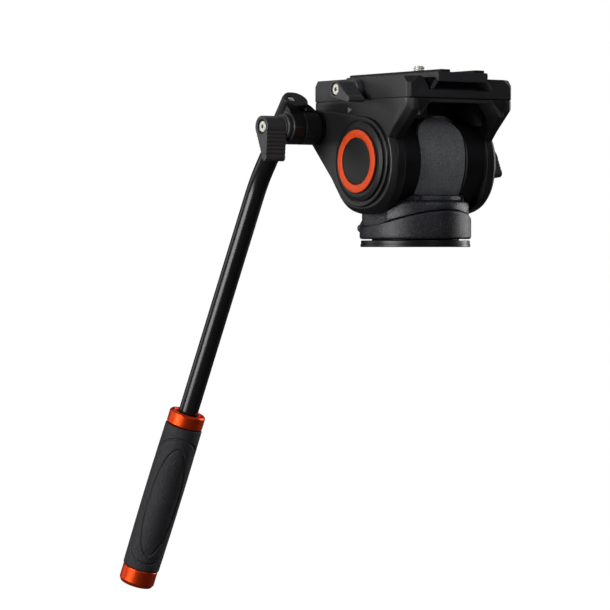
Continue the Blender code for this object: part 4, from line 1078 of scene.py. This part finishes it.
lobe = hull(circle(6.4, 96) + shifted(circle(6.3, 96), 1.7, 0) + shifted(circle(4.0, 72), -3.6, 0))
web = hull(shifted(circle(9.1, 64), ROSETTE_Y, ROSETTE_Z)
           + [yz(lobe_end + UPPER_DIR * 2.4 + across * k) for k in (-3.2, 5.9)]
           + [yz(lobe_start + across * k) for k in (-3.2, 4.5)])
screw_at = tuple(lobe_end + Vector((-2.2, 0, 0)))
foot_outline = ccw([(-47.0, 74.0), (-40.5, 74.0), (-40.5, 74.9), (-43.7, 77.3), (-47.0, 78.9)])
clamp_handle = solid(
    "handle_clamp_visual",
    rod(ROSETTE_R, -58.3, -50.5, "X", (0, ROSETTE_Y, ROSETTE_Z), segs=96, edge=0.6),
    ("+", rprism(web, "X", -58.1, -50.8, 0.5, 0.5, 3)),
    ("+", rprism(lobe, up, 0, 25.2, 0.7, 0.7, 4, centre=tuple(lobe_end))),
    ("+", rprism(foot_outline, "Y", 36.8, 45.2, 0.5, 0.5, 3)),
    ("-", rod(ROSETTE_R + 0.5, -50.4, -38, "X", (0, ROSETTE_Y, ROSETTE_Z), segs=96)),
    ("-", rod(7.9, -66, -58.45, "X", (0, ROSETTE_Y, ROSETTE_Z), segs=96)),
    ("-", rod(TUBE_R + 0.25, 6.2, 41.2, up, tuple(lobe_end), segs=64)),
    ("-", rod(2.8, -62, -48, "X", (0, ROSETTE_Y, ROSETTE_Z), segs=32)),
    ("-", rod(2.35, -2, 2.2, up, screw_at, segs=40)),
    ("-", rod(1.3, 1, 6, up, screw_at, segs=24)),
)
finish_piece(clamp_handle, LOOK["casting"], "pan_bar", ["handle_clamp"])
tube_screw = solid("tube_screw_visual",
                   turned([(0, 0.4), (1.95, 0.4), (1.95, 1.7), (1.0, 1.7), (1.0, 4.8), (0, 4.8)], up, screw_at, 32, 0.2, 3),
                   ("-", prism(circle(0.95, 6), up, -0.5, 1.2, screw_at)))
finish_piece(tube_screw, LOOK["bright"], "pan_bar", ["tube_screw"])

bend = Vector(TUBE_BEND)
BEND_RUN = 9.0
start, stop = bend - UPPER_DIR * BEND_RUN, bend + LOWER_DIR * BEND_RUN
route = [lobe_end + UPPER_DIR * 6.6]
for i in range(25):
    t = i / 24
    route.append(start * (1 - t) ** 2 + bend * 2 * t * (1 - t) + stop * t * t)
route.append(bend + LOWER_DIR * (CAP_AT - 1.0))
tube = solid("pan_bar_tube_visual", sweep(route, TUBE_R, 64))
finish_piece(tube, LOOK["tube"], "pan_bar", ["pan_bar_tube"])

low = tuple(LOWER_DIR)
foot = tuple(bend)
collar = solid("grip_collar_visual", lathe(fillet(
    [(TUBE_R + 0.3, COLLAR_AT + 2.4), (7.7, COLLAR_AT + 2.4), (8.1, COLLAR_AT + 0.5), (8.6, COLLAR_AT + 0.1), (9.5, COLLAR_AT),
     (10.3, COLLAR_AT + 0.9), (10.3, GRIP_AT - 1.0), (9.7, GRIP_AT - 0.35), (TUBE_R + 0.3, GRIP_AT - 0.35)],
    [0.1, 0.2, 0.3, 0.3, 0.5, 0.4, 0.3, 0.1, 0.1], 4), low, foot, 128))
finish_piece(collar, LOOK["grip_ring"], "pan_bar", ["grip_collar"])
END = HANDLE_END - 0.06
end_cap = solid("grip_end_cap_visual", lathe([(0, CAP_AT)] + fillet(
    [(0.01, CAP_AT), (9.7, CAP_AT), (10.05, CAP_AT + 0.4), (10.05, END - 2.0), (8.9, END - 0.1), (7.6, END), (0.01, END)],
    [0, 0.2, 0.3, 1.2, 0.8, 0.6, 0], 5)[1:-1] + [(0, END)], low, foot, 128))
finish_piece(end_cap, LOOK["grip_ring"], "pan_bar", ["grip_end_cap"])


# Grip sleeve: a gentle swell, two nested long ovals pressed into the rubber.
def grip_radius(s):
    """Sleeve radius at a distance s from its upper end."""
    length = CAP_AT - 0.3 - GRIP_AT
    t = s / length
    swell = 10.45 + 0.4 * math.sin(math.pi * min(1.0, max(0.0, 0.08 + 0.9 * t)))
    edge = 0.55
    for d in (s, length - s):
        if d < edge:
            swell -= edge * (1 - math.sqrt(max(0.0, 1 - (1 - d / edge) ** 2)))
    return swell


def grip_press(angle, s):
    """Depth of the pressed pattern. angle is in degrees from the ovals' middle line."""
    a = (angle + 180) % 360 - 180
    depth = 0.0
    mid = 42.6
    for half_angle, half_length, centre_s, width, groove, sunk in (
            (122.0, 37.3, 43.3, 0.95, 0.6, 0.0), (49.0, 31.6, 43.7, 0.85, 0.6, 0.26)):
        e = math.sqrt((a / half_angle) ** 2 + ((s - centre_s) / half_length) ** 2)
        # Distance to the oval in millimetres, from the gradient of e.
        gx = (a / half_angle) ** 2 / max(1e-6, abs(a) * math.pi / 180 * GRIP_R) if a else 0.0
        gs = (s - centre_s) / half_length ** 2
        slope = math.hypot(gx, gs) / max(e, 1e-6)
        d = (e - 1) / max(slope, 1e-4)
        if abs(d) < width:
            depth += groove * (0.5 + 0.5 * math.cos(math.pi * d / width))
        if sunk and d < 0:
            depth += sunk * min(1.0, -d / 0.8)
    return depth


def grip_mesh(segs=288, rows=300):
    u, v, w = axis_frame(low)
    c = Vector(foot)
    # The ovals' middle line faces a little to the right of the photographed side.
    facing = Vector((-0.575, -0.818, 0.0))
    facing = (facing - w * facing.dot(w)).normalized()
    facing_angle = math.degrees(math.atan2(facing.dot(v), facing.dot(u)))
    length = CAP_AT - 0.3 - GRIP_AT
    rings = [[c + w * GRIP_AT + (u * x + v * y) for x, y in circle(TUBE_R + 0.3, segs)]]
    for i in range(rows + 1):
        s = length * i / rows
        r0 = grip_radius(s)
        points = []
        for k in range(segs):
            angle = 360.0 * k / segs
            press = grip_press(angle - facing_angle + 10.0, s) if 0.4 < s < length - 0.4 else 0.0
            r = r0 - press
            a = math.radians(angle)
            points.append(c + w * (GRIP_AT + s) + (u * math.cos(a) + v * math.sin(a)) * r)
        rings.append(points)
    rings.append([c + w * (CAP_AT - 0.3) + (u * x + v * y) for x, y in circle(TUBE_R + 0.3, segs)])
    return loft(rings, closed=True)


grip = solid("grip_sleeve_visual", grip_mesh())
finish_piece(grip, LOOK["grip"], "pan_bar", ["grip_sleeve"], sharp=60)

# ------------------------------------- looks of the CAD nodes that stay shown
for node, look in {
    "pan_spindle": "steel", "pan_brake_drum": "steel", "pan_bearing": "nylon", "pan_retaining_nut": "steel",
    "shell_screw_1": "steel", "shell_screw_2": "steel", "shell_screw_3": "steel", "pan_brake_shoe": "brass",
    "tilt_bearing_right": "nylon", "tilt_bearing_left": "nylon", "tilt_damper_stator": "steel",
    "tilt_damper_rotor": "brass", "tilt_axle": "steel", "pan_lock_stud": "steel",
}.items():
    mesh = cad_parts[node].data
    mesh.materials.clear()
    mesh.materials.append(LOOK[look])

# ------------------------------------------------------- camera, floor, lights
camera_data = bpy.data.cameras.new("camera")
camera = bpy.data.objects.new("camera", camera_data)
bpy.context.scene.collection.objects.link(camera)
camera_data.sensor_width = 36.0
camera_data.lens = 3291.0 / 610.0 * 36.0
camera_data.clip_start, camera_data.clip_end = 0.05, 50.0
camera.location = (-1.0833, -1.4376, 0.0)
forward = Vector((0.57463, 0.81823, -0.01759)).normalized()
camera.rotation_mode = "QUATERNION"
camera.rotation_quaternion = forward.to_track_quat("-Z", "Y")
bpy.context.scene.camera = camera

FLOOR_Z = -0.235
bm = bmesh.new()
bmesh.ops.create_grid(bm, x_segments=8, y_segments=8, size=14.0)
floor = link("floor", to_mesh(bm, "floor"))
floor.location = (0, 0, FLOOR_Z)
floor_mat = bpy.data.materials.new("floor_pale")
floor_mat.use_nodes = True
ft = floor_mat.node_tree
principled = ft.nodes["Principled BSDF"]
principled.inputs["Base Color"].default_value = (0.06, 0.06, 0.06, 1)
principled.inputs["Roughness"].default_value = 0.9
out = ft.nodes["Material Output"]
glow = ft.nodes.new("ShaderNodeEmission")
glow.inputs["Color"].default_value = (1, 1, 1, 1)
glow.inputs["Strength"].default_value = 1.0
path = ft.nodes.new("ShaderNodeLightPath")
add = ft.nodes.new("ShaderNodeAddShader")
dim = ft.nodes.new("ShaderNodeBsdfDiffuse")
dim.inputs["Color"].default_value = (0.03, 0.03, 0.03, 1)
clear = ft.nodes.new("ShaderNodeBsdfTransparent")
pick = ft.nodes.new("ShaderNodeMixShader")
under = ft.nodes.new("ShaderNodeMixShader")
geometry = ft.nodes.new("ShaderNodeNewGeometry")
ft.links.new(dim.outputs[0], add.inputs[0])
ft.links.new(glow.outputs[0], add.inputs[1])
ft.links.new(path.outputs["Is Camera Ray"], pick.inputs[0])
ft.links.new(principled.outputs[0], pick.inputs[1])
ft.links.new(add.outputs[0], pick.inputs[2])
ft.links.new(geometry.outputs["Backfacing"], under.inputs[0])
ft.links.new(pick.outputs[0], under.inputs[1])
ft.links.new(clear.outputs[0], under.inputs[2])
ft.links.new(under.outputs[0], out.inputs["Surface"])
floor.data.materials.append(floor_mat)

world = bpy.data.worlds.new("studio")
bpy.context.scene.world = world
world.use_nodes = True
wt = world.node_tree
wt.nodes.clear()
world_out = wt.nodes.new("ShaderNodeOutputWorld")
ambient = wt.nodes.new("ShaderNodeBackground")
ambient.inputs["Color"].default_value = (0.95, 0.97, 1.0, 1)
ambient.inputs["Strength"].default_value = 0.028
white = wt.nodes.new("ShaderNodeBackground")
white.inputs["Color"].default_value = (1, 1, 1, 1)
white.inputs["Strength"].default_value = 1.0
seen = wt.nodes.new("ShaderNodeLightPath")
choose = wt.nodes.new("ShaderNodeMixShader")
wt.links.new(seen.outputs["Is Camera Ray"], choose.inputs[0])
wt.links.new(ambient.outputs[0], choose.inputs[1])
wt.links.new(white.outputs[0], choose.inputs[2])
wt.links.new(choose.outputs[0], world_out.inputs["Surface"])


def softbox(name, at, target, size, power, colour=(1, 1, 1)):
    data = bpy.data.lights.new(name, "AREA")
    data.shape = "RECTANGLE"
    data.size, data.size_y = size
    data.energy = power
    data.color = colour
    lamp = bpy.data.objects.new(name, data)
    bpy.context.scene.collection.objects.link(lamp)
    lamp.location = at
    lamp.rotation_mode = "QUATERNION"
    lamp.rotation_quaternion = (Vector(target) - Vector(at)).to_track_quat("-Z", "Y")
    return lamp


# View axes: R is to the photograph's right, F into it.
R = Vector((0.8184, -0.5747, 0.0))
F = Vector((0.5747, 0.8184, 0.0))
UP = Vector((0, 0, 1))
MIDDLE = Vector((-0.02, 0.02, 0.0))


def around(right, back, height):
    return MIDDLE - F * back + R * right + UP * height


softbox("key_left", around(-1.26, 0.985, 0.14), MIDDLE, (1.0, 1.2), 27)
softbox("rim_right", around(1.23, -0.86, 0.12), MIDDLE, (0.45, 1.2), 11)
softbox("top_right", around(0.75, 0.95, 0.6), MIDDLE, (0.45, 0.4), 2.6, (0.88, 0.9, 1.0))
softbox("rear_left", around(-1.5, -0.55, 0.15), MIDDLE, (0.7, 1.2), 2.8)
softbox("top_back", around(-0.2, -0.7, 1.25), MIDDLE, (1.0, 0.5), 3.0)

scene = bpy.context.scene
scene.view_settings.view_transform = "Standard"
scene.view_settings.look = "None"
scene.view_settings.exposure = 0.0
scene.view_settings.gamma = 1.0
